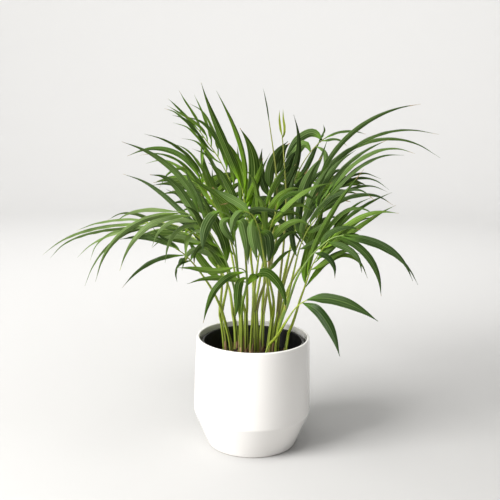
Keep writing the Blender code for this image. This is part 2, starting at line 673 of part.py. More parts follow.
def frame_at(direction, face):
    """Up and side vectors across a direction, with up as near as can be to the face vector."""
    up = (face - direction * face.dot(direction)).normalized()
    return up, direction.cross(up)


def corners(centre, wide, thick, half_width, half_thickness):
    """The four corners of a leaflet's section, counter-clockwise about its direction."""
    return [
        centre - wide * half_width + thick * half_thickness,
        centre - wide * half_width - thick * half_thickness,
        centre + wide * half_width - thick * half_thickness,
        centre + wide * half_width + thick * half_thickness,
    ]


class Blade:
    """One leaflet as a stack of four-cornered sections from its face on the rachis to its tip."""

    def __init__(self, base, outward, wide, points, width):
        self.base = base
        self.outward = outward
        self.wide = wide
        self.points = points
        self.width = width

    def route(self, option, bulge):
        """The middle line, with its far end slid in depth along the lines of sight."""
        reach = (self.points[-1] - self.base).length
        stub = self.base + self.outward * STUB_LENGTH
        route = [self.base, stub]
        for point in self.points:
            share = min(1.0, (point - self.base).length / reach)
            slide = option * share ** SLIDE_POWER + bulge * math.sin(math.pi * share)
            route.append(slide_on_sight(point, reach * slide))
        return Curve(route)

    def sections(self, curve, growth=0.0):
        """The corner rings past the rachis, and the tip. Growth fattens the rings for a clearance test."""
        stub_share = STUB_LENGTH / curve.length
        rings = []
        wide = self.wide
        profile = MIDDLE_PROFILE
        if curve.length < SHORT_LENGTH:
            profile = SHORT_PROFILE
        if curve.length > LONG_LENGTH:
            profile = LONG_PROFILE
        for along, fullness in profile:
            share = stub_share + (1 - stub_share) * along
            centre = curve.at(share)
            direction = curve.direction(share)
            wide = self.width_direction(centre, direction, wide)
            thick = direction.cross(wide)
            true_width = max(self.width, BLADE_TRUE_WIDTH)
            half_width = true_width * fullness / 2 if along else STUB_WIDTH / 2
            thickness = BLADE_THICKNESS if along else STUB_THICKNESS
            rings.append(corners(centre, wide, thick, half_width + growth, thickness / 2 + growth))
        tip = curve.at(1.0) + curve.direction(1.0) * growth
        return rings, tip

    def width_direction(self, centre, direction, previous):
        """Across the blade: seen at its full width or, where it looks narrow, turned edge-on."""
        view = (CAMERA - centre).normalized()
        flat = direction.cross(view).normalized()
        facing = flat.cross(direction).normalized()
        seen_share = min(1.0, self.width / BLADE_TRUE_WIDTH)
        turned = math.sqrt(1 - seen_share * seen_share)
        if flat.z > 0:
            turned = -turned
        wide = (flat * seen_share + facing * turned).normalized()
        wide = (wide - direction * wide.dot(direction)).normalized()
        return wide if wide.dot(previous) >= 0 else -wide

    def polygons(self, curve, growth, first_ring=0):
        """The clearance test's points and faces."""
        rings, tip = self.sections(curve, growth)
        points = [corner for ring in rings[first_ring:] for corner in ring] + [tip]
        faces = []
        count = len(rings) - first_ring
        for ring in range(count - 1):
            for side in range(4):
                low, high = ring * 4 + side, ring * 4 + (side + 1) % 4
                faces.append((low, high, high + 4))
                faces.append((low, high + 4, low + 4))
        last = (count - 1) * 4
        for side in range(4):
            faces.append((last + side, last + (side + 1) % 4, count * 4))
        return points, faces


class Neighbours:
    """The solids placed so far, for clearance tests."""

    def __init__(self):
        self.points = []
        self.faces = []
        self.tree = None

    def add(self, points, faces):
        """Add triangles."""
        start = len(self.points)
        self.points += points
        self.faces += [tuple(start + index for index in face) for face in faces]
        self.tree = BVHTree.FromPolygons(self.points, self.faces)

    def touches(self, points, faces):
        """How many triangle pairs cross."""
        if self.tree is None:
            return 0
        return len(self.tree.overlap(BVHTree.FromPolygons(points, faces)))


def tube_polygons(rings):
    """Triangles of a closed tube through rings of corners."""
    sides = len(rings[0])
    points = [corner for ring in rings for corner in ring]
    faces = []
    for ring in range(len(rings) - 1):
        for side in range(sides):
            low, high = ring * sides + side, ring * sides + (side + 1) % sides
            faces.append((low, high, high + sides))
            faces.append((low, high + sides, low + sides))
    return points, faces


def make_material(name, colour, roughness, metallic=0.0):
    """A plain Principled material."""
    material = bpy.data.materials.new(name)
    material.use_nodes = True
    shader = material.node_tree.nodes["Principled BSDF"]
    shader.inputs["Base Color"].default_value = (*colour, 1.0)
    shader.inputs["Roughness"].default_value = roughness
    shader.inputs["Metallic"].default_value = metallic
    material.diffuse_color = (*colour, 1.0)
    return material


def finish_mesh(mesh_maker, name, material, smooth=False):
    """Turn a bmesh into a named object."""
    bmesh.ops.recalc_face_normals(mesh_maker, faces=mesh_maker.faces)
    bmesh.ops.triangulate(mesh_maker, faces=mesh_maker.faces)
    mesh = bpy.data.meshes.new(name)
    mesh_maker.to_mesh(mesh)
    mesh_maker.free()
    mesh.materials.append(material)
    if smooth:
        mesh.shade_smooth()
    made = bpy.data.objects.new(name, mesh)
    bpy.context.collection.objects.link(made)
    return made


def lathe(name, profile, segments, material):
    """Spin a closed profile of (radius, height) points about Z."""
    maker = bmesh.new()
    ring = [maker.verts.new((radius, 0, height)) for radius, height in profile]
    edges = [maker.edges.new(pair) for pair in zip(ring, ring[1:])]
    full_turn = 2 * math.pi
    bmesh.ops.spin(
        maker,
        geom=ring + edges,
        cent=(0, 0, 0),
        axis=(0, 0, 1),
        angle=full_turn,
        steps=segments,
        use_merge=True,
    )
    bmesh.ops.remove_doubles(maker, verts=maker.verts, dist=1e-6)
    return finish_mesh(maker, name, material, smooth=True)


def arc(centre, radius, start, end, steps):
    """Points of an arc in the (radius, height) plane, by angles in degrees."""
    points = []
    for step in range(steps + 1):
        angle = math.radians(start + (end - start) * step / steps)
        points.append((centre[0] + radius * math.cos(angle), centre[1] + radius * math.sin(angle)))
    return points


def cover_outer_radius(height):
    """The cover pot's outside: a taper to the shoulder, then nearly upright to the rim."""
    if height < SHOULDER_HEIGHT:
        return FOOT_RADIUS + (SHOULDER_RADIUS - FOOT_RADIUS) * height / SHOULDER_HEIGHT
    rise = (height - SHOULDER_HEIGHT) / (POT_HEIGHT - SHOULDER_HEIGHT)
    return SHOULDER_RADIUS + (RIM_RADIUS - SHOULDER_RADIUS) * rise ** WALL_CURVE


def make_cover_pot():
    """The white glazed pot that the nursery pot stands in."""
    edge = COVER_WALL / 2
    foot_turn = math.degrees(math.atan2(SHOULDER_HEIGHT, SHOULDER_RADIUS - FOOT_RADIUS))
    profile = [(0, 0)]
    profile += arc((FOOT_RADIUS - FOOT_ROUNDING, FOOT_ROUNDING), FOOT_ROUNDING, -90, foot_turn - 90, 3)
    profile += [(cover_outer_radius(height), height) for height in OUTSIDE_HEIGHTS]
    profile += arc((RIM_RADIUS - edge, POT_HEIGHT - edge), edge, 0, 180, 4)
    for height in INSIDE_HEIGHTS:
        profile.append((cover_outer_radius(height) - COVER_WALL, height))
    profile.append((0, COVER_FLOOR))
    glaze = make_material("white_glaze", (0.82, 0.81, 0.79), 0.18)
    return lathe("cover_pot", profile, POT_SEGMENTS, glaze)


def nursery_radius(height):
    """The nursery pot's straight tapered outside."""
    bottom = COVER_FLOOR + SEAT_GAP
    top = POT_HEIGHT - LIP_BELOW_RIM
    share = (height - bottom) / (top - bottom)
    return NURSERY_FOOT_RADIUS + (NURSERY_TOP_RADIUS - NURSERY_FOOT_RADIUS) * share


def add_cutter(target, cutter):
    """Cut one object out of another and keep the cutter out of the part."""
    cutter.hide_render = True
    cutter.display_type = "WIRE"
    boolean = target.modifiers.new("Cut " + cutter.name, "BOOLEAN")
    boolean.operation = "DIFFERENCE"
    boolean.solver = "EXACT"
    boolean.object = cutter


def cylinder_cutter(name, centre, bottom, top, radius, sides):
    """A plain upright cylinder used to cut a hole, with its flats where a cane's flats are."""
    maker = bmesh.new()
    made = bmesh.ops.create_cone(
        maker, cap_ends=True, segments=sides, radius1=radius, radius2=radius, depth=top - bottom
    )
    half_side = Matrix.Rotation(math.pi / sides, 3, "Z")
    bmesh.ops.rotate(maker, verts=made["verts"], cent=(0, 0, 0), matrix=half_side)
    bmesh.ops.translate(maker, verts=made["verts"], vec=(centre[0], centre[1], (bottom + top) / 2))
    mesh = bpy.data.meshes.new(name)
    maker.to_mesh(mesh)
    maker.free()
    cutter = bpy.data.objects.new(name, mesh)
    bpy.context.collection.objects.link(cutter)
    return cutter


def make_nursery_pot():
    """The black plastic pot, with a turned-down lip and drain holes."""
    bottom = COVER_FLOOR + SEAT_GAP
    top = POT_HEIGHT - LIP_BELOW_RIM
    lip_low = top - LIP_DEPTH
    floor = bottom + NURSERY_WALL
    inner_top = nursery_radius(top) - NURSERY_WALL
    profile = [
        (0, bottom),
        (nursery_radius(bottom) - NURSERY_WALL, bottom),
        (nursery_radius(floor), floor),
        (nursery_radius(lip_low), lip_low),
        (LIP_RADIUS - NURSERY_WALL / 2, lip_low),
        (LIP_RADIUS, lip_low + NURSERY_WALL / 2),
        (LIP_RADIUS, top - NURSERY_WALL),
        (LIP_RADIUS - NURSERY_WALL, top),
        (inner_top, top),
        (nursery_radius(floor) - NURSERY_WALL, floor),
        (0, floor),
    ]
    plastic = make_material("black_plastic", (0.025, 0.025, 0.027), 0.45)
    pot = lathe("nursery_pot", profile, POT_SEGMENTS, plastic)
    for index in range(DRAIN_HOLE_COUNT):
        angle = 2 * math.pi * index / DRAIN_HOLE_COUNT
        centre = (DRAIN_CIRCLE_RADIUS * math.cos(angle), DRAIN_CIRCLE_RADIUS * math.sin(angle))
        span = (bottom - NURSERY_WALL, floor + NURSERY_WALL)
        hole = cylinder_cutter(f"drain_cutter_{index}", centre, *span, DRAIN_HOLE_RADIUS, DRAIN_HOLE_SIDES)
        add_cutter(pot, hole)
    return pot


def make_soil():
    """The potting soil: a mound inside the nursery pot, with a socket for each cane and dry sheath."""
    bottom = COVER_FLOOR + SEAT_GAP + NURSERY_WALL + SEAT_GAP
    side_gap = NURSERY_WALL + SEAT_GAP * 2
    maker = bmesh.new()

    def ring(radius, height=None):
        made = []
        for index in range(SOIL_SEGMENTS):
            angle = 2 * math.pi * index / SOIL_SEGMENTS
            x, y = radius * math.cos(angle), radius * math.sin(angle)
            made.append(maker.verts.new((x, y, soil_height(x, y) if height is None else height)))
        return made

    bottom_ring = ring(nursery_radius(bottom) - side_gap, bottom)
    edge_radius = nursery_radius(SOIL_EDGE_HEIGHT) - side_gap - SEAT_GAP
    rings = [bottom_ring] + [ring(edge_radius * share) for share in SOIL_RING_SHARES]
    for lower, upper in zip(rings, rings[1:]):
        for index in range(SOIL_SEGMENTS):
            after = (index + 1) % SOIL_SEGMENTS
            maker.faces.new((lower[index], lower[after], upper[after], upper[index]))
    maker.faces.new(list(reversed(bottom_ring)))
    peak = maker.verts.new((0, 0, soil_height(0, 0)))
    for index in range(SOIL_SEGMENTS):
        maker.faces.new((rings[-1][index], rings[-1][(index + 1) % SOIL_SEGMENTS], peak))
    dark = make_material("potting_soil", (0.06, 0.043, 0.033), 0.95)
    soil = finish_mesh(maker, "potting_soil", dark)
    stands = [(item.name, item.foot, item.radius) for item in CANES + DRY_SHEATHS]
    for name, foot, radius in stands:
        surface = soil_height(*foot)
        span = (surface - SOCKET_DEPTH - SEAT_GAP, surface + SOCKET_CUT_ABOVE)
        hole_radius = radius + SOCKET_CLEARANCE
        add_cutter(soil, cylinder_cutter(f"socket_{name}", foot, *span, hole_radius, CANE_SIDES))
    return soil


def round_ring(centre, direction, radius, sides):
    """Points of a ring across a direction. The first point lies toward +X for an upright direction."""
    toward = Vector((1, 0, 0))
    first = (toward - direction * toward.dot(direction)).normalized()
    second = direction.cross(first)
    angles = [2 * math.pi * (index + 0.5) / sides for index in range(sides)]
    return [centre + (first * math.cos(angle) + second * math.sin(angle)) * radius for angle in angles]


class CaneBuilder:
    """A cane from its socket to its open mouth, where the stalks stand."""

    def __init__(self, cane):
        self.cane = cane
        surface = soil_height(*cane.foot)
        foot = Vector((*cane.foot, surface - SOCKET_DEPTH))
        ground = Vector((*cane.foot, surface + UPRIGHT_ABOVE_SOIL))
        self.mouth = sight(*cane.mouth)
        straight_up = Vector((0, 0, 1))
        knee = ground + straight_up * KNEE_RISE * (self.mouth.z - ground.z)
        knee += Vector((self.mouth.x - ground.x, self.mouth.y - ground.y, 0)) * KNEE_REACH
        self.curve = Curve([foot, ground, knee, self.mouth])
        self.ground_share = (ground - foot).length / self.curve.length

    def rings(self):
        """The outside from the foot to the mouth, then down the inside to the mouth's floor."""
        radius = self.cane.radius
        last = 1 - MOUTH_DEPTH / self.curve.length
        stations = (
            (0.0, radius),
            (self.ground_share, radius),
            (0.55, radius * CANE_WAIST),
            (1.0, radius),
            (1.0, radius - CANE_SKIN),
            (last, radius - MOUTH_SKIN),
        )
        made = []
        for share, size in stations:
            direction = self.curve.direction(share)
            if share <= self.ground_share:
                direction = Vector((0, 0, 1))
            made.append(round_ring(self.curve.at(share), direction, size, CANE_SIDES))
        return made

    def seat(self, angle, count):
        """Where a stalk stands in the mouth, and where it leaves it."""
        direction = self.curve.direction(1.0)
        first = (Vector((1, 0, 0)) - direction * direction.x).normalized()
        second = direction.cross(first)
        turn = math.radians(angle)
        offset = 0.0
        if count > 1:
            offset = self.cane.radius - MOUTH_SKIN - MOUTH_CLEARANCE - STALK_FOOT_RADIUS
        away = (first * math.cos(turn) + second * math.sin(turn)) * offset
        floor = self.curve.at(1 - MOUTH_DEPTH / self.curve.length) + direction * SEAT_GAP
        return floor + away, self.curve.at(1.0) + direction * MOUTH_EXIT + away

    def build(self, material):
        """Make the cane's object."""
        maker = bmesh.new()
        rings = [[maker.verts.new(corner) for corner in ring] for ring in self.rings()]
        for lower, upper in zip(rings, rings[1:]):
            for index in range(CANE_SIDES):
                after = (index + 1) % CANE_SIDES
                maker.faces.new((lower[index], lower[after], upper[after], upper[index]))
        maker.faces.new(list(reversed(rings[0])))
        maker.faces.new(rings[-1])
        return finish_mesh(maker, self.cane.name, material, smooth=True)


class FrondBuilder:
    """A frond: a four-sided stalk and rachis with each leaflet extruded from a side face."""

    RIGHT, LEFT = 0, 2

    def __init__(self, frond, cane_builder, count):
        self.frond = frond
        seat, leaving = cane_builder.seat(frond.mouth_angle, count)
        self.start = [seat, leaving]
        self.route_points = [sight(*point) for point in frond.stalk + frond.rachis]
        self.curve = None
        self.rachis_share = 1.0

    def route(self, option):
        """The whole middle line. An option slides its far part in depth."""
        points = list(self.start)
        count = len(self.route_points)
        for index, point in enumerate(self.route_points):
            growing = min(1.0, ROUTE_SLIDE_GAIN * (index + 1) / count)
            points.append(slide_on_sight(point, option * growing))
        return Curve(points)

    def blade_start(self, curve):
        """The share of the whole route at which the rachis begins."""
        last_stalk = len(self.start) + len(self.frond.stalk) - 1
        return curve.lengths[last_stalk * Curve.STEPS - last_stalk] / curve.length

    def radius_at(self, share):
        """The stalk tapers to the rachis, and the rachis to its tip."""
        leaving = THIN_STALK_LENGTH / self.curve.length
        if share <= leaving:
            return STALK_FOOT_RADIUS
        if share < self.rachis_share:
            return STALK_RADIUS + (RACHIS_START_RADIUS - STALK_RADIUS) * share / self.rachis_share
        along = (share - self.rachis_share) / (1 - self.rachis_share)
        return RACHIS_START_RADIUS + (RACHIS_TIP_RADIUS - RACHIS_START_RADIUS) * along

    def ring(self, share, growth=0.0):
        """The four corners of the stalk or rachis at a share of the route."""
        direction = self.curve.direction(share)
        up, side = frame_at(direction, FROND_FACE)
        reach = self.radius_at(share) + growth
        diagonals = (up + side, side - up, -up - side, up - side)
        return [self.curve.at(share) + diagonal.normalized() * reach for diagonal in diagonals]

    def settle_route(self, others):
        """Choose the first clear depth option for the stalk and rachis."""
        best = None
        for option in ROUTE_OPTIONS:
            self.curve = self.route(option)
            self.rachis_share = self.blade_start(self.curve)
            rings = []
            for share in self.ring_shares():
                inside_mouth = share * self.curve.length < MOUTH_DEPTH * 1.5
                rings.append(self.ring(share, SEAT_GAP / 3 if inside_mouth else CLEARANCE))
            crossing = others.touches(*tube_polygons(rings))
            if best is None or crossing < best[0]:
                best = (crossing, option)
            if crossing == 0:
                break
        if best[0]:
            print("stalk still crosses:", self.frond.name, best)
        self.curve = self.route(best[1])
        self.rachis_share = self.blade_start(self.curve)

    def ring_shares(self):
        """Where the stalk has its rings, and a few along the rachis for the clearance test."""
        leaving = THIN_STALK_LENGTH / self.curve.length
        steps = max(4, round(self.rachis_share * self.curve.length / STALK_STEP))
        stretch = self.rachis_share - leaving
        shares = [0.0] + [leaving + stretch * step / steps for step in range(steps + 1)]
        return shares + [self.rachis_share + (1 - self.rachis_share) * step / 8 for step in range(1, 9)]

    def side_of(self, first_point, share):
        """Which side face a leaflet leaves by."""
        _, side = frame_at(self.curve.direction(share), FROND_FACE)
        return self.RIGHT if (first_point - self.curve.at(share)).dot(side) >= 0 else self.LEFT

    def leaflet_points(self, leaflet, share, order):
        """A photographed leaflet's points, laid by turns before and behind the frond's own leaning plane."""
        base = self.curve.at(share)
        up, _ = frame_at(self.curve.direction(share), FROND_FACE)
        normal = (up + (CAMERA - base).normalized()).normalized()
        points = [sight_on_plane(*pixel, base, normal) for pixel in leaflet.pixels]
        lean = (points[-1] - base).length * LEAFLET_LEAN * math.sin(order * LEAN_TURN)
        count = len(points)
        return [slide_on_sight(point, lean * (index + 1) / count) for index, point in enumerate(points)]

    def comb_points(self, side_sign, share, along):
        """A hidden leaflet's points: out from the rachis and sagging to its tip."""
        comb = self.frond.comb
        base = self.curve.at(share)
        direction = self.curve.direction(share)
        up, side = frame_at(direction, COMB_FACE)
        spread = math.radians(comb.spread)
        outward = direction * math.cos(spread) + side * math.sin(spread) * side_sign + up * COMB_RISE
        length = comb.length * (1 - COMB_TAPER * abs(along - COMB_MIDDLE))
        drop = Vector((0, 0, -comb.sag * length))
        return [base + outward * length * part + drop * part ** 2 for part in COMB_PARTS]

    def wanted_blades(self):
        """Every leaflet as (share of the rachis, side, points, width)."""
        wanted = []
        for order, leaflet in enumerate(self.frond.leaflets):
            share = self.rachis_share + (1 - self.rachis_share) * leaflet.share
            points = self.leaflet_points(leaflet, share, order)
            wanted.append((leaflet.share, self.side_of(points[0], share), points, leaflet.width))
        comb = self.frond.comb
        if comb:
            for index in range(comb.pairs):
                along = (index + 0.5) / comb.pairs
                share = self.rachis_share + (1 - self.rachis_share) * along
                wanted.append((along, self.RIGHT, self.comb_points(1, share, along), comb.width))
                wanted.append((along, self.LEFT, self.comb_points(-1, share, along), comb.width))
            end_points = self.comb_points(0, 1.0, COMB_MIDDLE)
            wanted.append((1.0, self.RIGHT, end_points, comb.width))
        return sorted(wanted, key=lambda item: item[0])

    def lay_out(self):
        """Give each leaflet a short stretch of the rachis, shared only with one on the other side."""
        pitch = (ATTACH_LENGTH + ATTACH_GAP) / self.curve.length
        half = ATTACH_LENGTH / self.curve.length / 2
        wanted = self.wanted_blades()
        last = wanted.pop()
        slots = []
        for along, side, points, width in wanted:
            share = self.rachis_share + (1 - self.rachis_share) * along
            if slots and share < slots[-1][0] + pitch:
                if side not in slots[-1][1]:
                    slots[-1][1][side] = (points, width)
                    continue
                share = slots[-1][0] + pitch
            slots.append([share, {side: (points, width)}])
        limit = 1 - half * SLOT_MARGIN
        for slot in reversed(slots):
            slot[0] = min(slot[0], limit)
            limit = slot[0] - pitch
        return slots, half, last

    def settle_blade(self, blade, others, own):
        """Choose the first option of depth at which a leaflet is clear of everything."""
        best = None
        for bulge in BULGE_OPTIONS:
            for option in DEPTH_OPTIONS:
                curve = blade.route(option, bulge)
                crossing = others.touches(*blade.polygons(curve, CLEARANCE))
                crossing += own.touches(*blade.polygons(curve, CLEARANCE, first_ring=1))
                if best is None or crossing < best[0]:
                    best = (crossing, curve)
                if crossing == 0:
                    return curve
        print("leaflet still crosses:", self.frond.name, best[0], blade.points[-1])
        return best[1]

    def build(self, others, material):
        """Settle the stalk and every leaflet, then make the frond's object."""
        self.settle_route(others)
        slots, half, last = self.lay_out()
        maker = bmesh.new()
        first_slot = slots[0][0] - half * SLOT_MARGIN if slots else 1.0
        shares = {share for share in self.ring_shares() if share < min(first_slot, self.rachis_share)}
        shares.add(1.0)
        owners = {}
        for share, sides in slots:
            shares.update((share - half, share + half))
            owners[share - half] = sides
        shares = sorted(shares)
        rings = [[maker.verts.new(corner) for corner in self.ring(share)] for share in shares]
        own = Neighbours()
        own.add(*tube_polygons([[corner.co.copy() for corner in ring] for ring in rings]))
        maker.faces.new(list(reversed(rings[0])))
        for share, lower, upper in zip(shares, rings, rings[1:]):
            sides = owners.get(share, {})
            for index in range(4):
                after = (index + 1) % 4
                face_ring = [lower[index], lower[after], upper[after], upper[index]]
                if index in sides:
                    points, width = sides[index]
                    direction = self.curve.direction(share + half)
                    self.add_blade(maker, face_ring, direction, points, width, others, own)
                else:
                    maker.faces.new(face_ring)
        _, _, points, width = last
        _, side = frame_at(self.curve.direction(1.0), FROND_FACE)
        self.add_blade(maker, rings[-1], -side, points, width, others, own)
        others.add(own.points, own.faces)
        return finish_mesh(maker, self.frond.name, material)

    def add_blade(self, maker, face_ring, wide, points, width, others, own):
        """Extrude one leaflet from a face of the rachis."""
        base = sum((corner.co for corner in face_ring), Vector()) / 4
        first = face_ring[1].co - face_ring[0].co
        outward = first.cross(face_ring[2].co - face_ring[1].co).normalized()
        lean = (points[0] - base).normalized()
        blade = Blade(base, (outward + lean * STUB_LEAN).normalized(), wide, points, width)
        curve = self.settle_blade(blade, others, own)
        rings, tip = blade.sections(curve)
        ring = face_ring
        for corner_points in rings:
            following = [maker.verts.new(corner) for corner in corner_points]
            for index in range(4):
                after = (index + 1) % 4
                maker.faces.new((ring[index], ring[after], following[after], following[index]))
            ring = following
        end = maker.verts.new(tip)
        for index in range(4):
            maker.faces.new((ring[index], ring[(index + 1) % 4], end))
        own.add(*blade.polygons(curve, 0.0))


def make_dry_sheath(sheath, material, neighbours):
    """A flattened dead sheath, pointed at the top, standing in its socket."""
    surface = soil_height(*sheath.foot)
    foot = Vector((*sheath.foot, surface - SOCKET_DEPTH))
    up = Vector((0, 0, 1))
    lean = Vector((*sheath.lean, 0))
    maker = bmesh.new()
    total = SOCKET_DEPTH + sheath.height
    rings = []
    for share, size in SHEATH_PROFILE:
        bend = max(0.0, share - SHEATH_BEND_START)
        centre = foot + up * total * share + lean * bend
        rings.append(round_ring(centre, up, sheath.radius * size, CANE_SIDES))
    neighbours.add(*tube_polygons(rings))
    made = [[maker.verts.new(corner) for corner in ring] for ring in rings]
    for lower, upper in zip(made, made[1:]):
        for index in range(CANE_SIDES):
            after = (index + 1) % CANE_SIDES
            maker.faces.new((lower[index], lower[after], upper[after], upper[index]))
    maker.faces.new(list(reversed(made[0])))
    tip = maker.verts.new(foot + up * total + lean)
    for index in range(CANE_SIDES):
        maker.faces.new((made[-1][index], made[-1][(index + 1) % CANE_SIDES], tip))
    return finish_mesh(maker, sheath.name, material)


def main():
    """Build every piece."""
    for item in list(bpy.data.objects):
        bpy.data.objects.remove(item, do_unlink=True)
    make_cover_pot()
    make_nursery_pot()
    make_soil()
    placed = Neighbours()
    green_stem = make_material("green_stem", (0.27, 0.33, 0.08), 0.5)
    leaf_green = make_material("leaf_green", (0.075, 0.16, 0.035), 0.42)
    dry_brown = make_material("dry_sheath", (0.42, 0.30, 0.20), 0.85)
    for sheath in DRY_SHEATHS:
        make_dry_sheath(sheath, dry_brown, placed)
    builders = {}
    for cane in CANES:
        builder = CaneBuilder(cane)
        builders[cane.name] = builder
        placed.add(*tube_polygons(builder.rings()))
        builder.build(green_stem)
    for frond in FRONDS:
        count = sum(other.cane == frond.cane for other in FRONDS)
        FrondBuilder(frond, builders[frond.cane], count).build(placed, leaf_green)


if __name__ == "__main__":
    main()
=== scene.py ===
"""Looks of a potted areca palm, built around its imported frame.

Units are metres, +Z is up, +X is right and +Y is away from the viewer. The middle lines of the stalks,
leaflets, canes and dry sheaths are worked out from the frame's own solids, so every visible leaf lies where
its solid does.
"""

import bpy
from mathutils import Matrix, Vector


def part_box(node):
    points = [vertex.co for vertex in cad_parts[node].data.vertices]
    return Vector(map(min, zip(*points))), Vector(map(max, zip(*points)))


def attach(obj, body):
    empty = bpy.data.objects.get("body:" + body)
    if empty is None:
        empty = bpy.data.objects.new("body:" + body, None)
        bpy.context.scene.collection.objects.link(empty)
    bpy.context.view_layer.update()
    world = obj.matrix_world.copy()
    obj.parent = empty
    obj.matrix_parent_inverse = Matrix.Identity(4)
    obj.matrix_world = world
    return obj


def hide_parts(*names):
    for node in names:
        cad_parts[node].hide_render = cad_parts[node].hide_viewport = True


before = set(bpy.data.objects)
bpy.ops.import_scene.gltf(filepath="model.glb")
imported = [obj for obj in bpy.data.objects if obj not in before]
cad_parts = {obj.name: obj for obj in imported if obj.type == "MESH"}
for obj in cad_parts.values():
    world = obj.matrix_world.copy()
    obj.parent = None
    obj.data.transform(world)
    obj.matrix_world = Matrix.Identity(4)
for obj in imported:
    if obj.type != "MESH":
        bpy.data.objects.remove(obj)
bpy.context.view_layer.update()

import logging
import math
import random
from dataclasses import dataclass, field
from enum import Enum
from typing import Iterable, Sequence

import bmesh
import bpy
import numpy as np
from mathutils import Matrix, Vector, noise

LOG = logging.getLogger("areca")
Colour = tuple[float, float, float]
Triple = tuple[float, float, float]
Pair = tuple[float, float]
Span = tuple[float, float]
FULL_TURN = 2 * math.pi
TINY = 1e-12


# Shader writing


class Tone:
    """A value, colour or vector that varies over a surface: one node socket with plain operators."""

    def __init__(self, sketch: "ShaderSketch", socket: bpy.types.NodeSocket) -> None:
        """Hold a socket of the sketch's node tree."""
        self.sketch = sketch
        self.socket = socket

    def _math(self, operation: str, first: "Amount", second: "Amount" = 0.0) -> "Tone":
        """Add a Math node.

        Args:
            operation: The Math node's operation.
            first: Its first value.
            second: Its second value.

        Returns:
            The node's result.
        """
        made = self.sketch.node("ShaderNodeMath", {"operation": operation}, {0: first, 1: second})
        return Tone(self.sketch, made.outputs[0])

    def __add__(self, other: "Amount") -> "Tone":
        """Sum."""
        return self._math("ADD", self, other)

    def __radd__(self, other: "Amount") -> "Tone":
        """Sum, reflected."""
        return self._math("ADD", other, self)

    def __sub__(self, other: "Amount") -> "Tone":
        """Difference."""
        return self._math("SUBTRACT", self, other)

    def __rsub__(self, other: "Amount") -> "Tone":
        """Difference, reflected."""
        return self._math("SUBTRACT", other, self)

    def __mul__(self, other: "Amount") -> "Tone":
        """Product."""
        return self._math("MULTIPLY", self, other)

    def __rmul__(self, other: "Amount") -> "Tone":
        """Product, reflected."""
        return self._math("MULTIPLY", other, self)

    def __abs__(self) -> "Tone":
        """Size without sign."""
        return self._math("ABSOLUTE", self)

    def sine(self) -> "Tone":
        """Sine of an angle in radians."""
        return self._math("SINE", self)

    def rise(self, low: "Amount", high: "Amount") -> "Tone":
        """Smooth step from 0 at low to 1 at high.

        Args:
            low: Where the step begins.
            high: Where it ends.

        Returns:
            The step, between 0 and 1.
        """
        settings = {"interpolation_type": "SMOOTHSTEP", "clamp": True}
        made = self.sketch.node("ShaderNodeMapRange", settings, {0: self, 1: low, 2: high})
        return Tone(self.sketch, made.outputs[0])


Amount = Tone | float


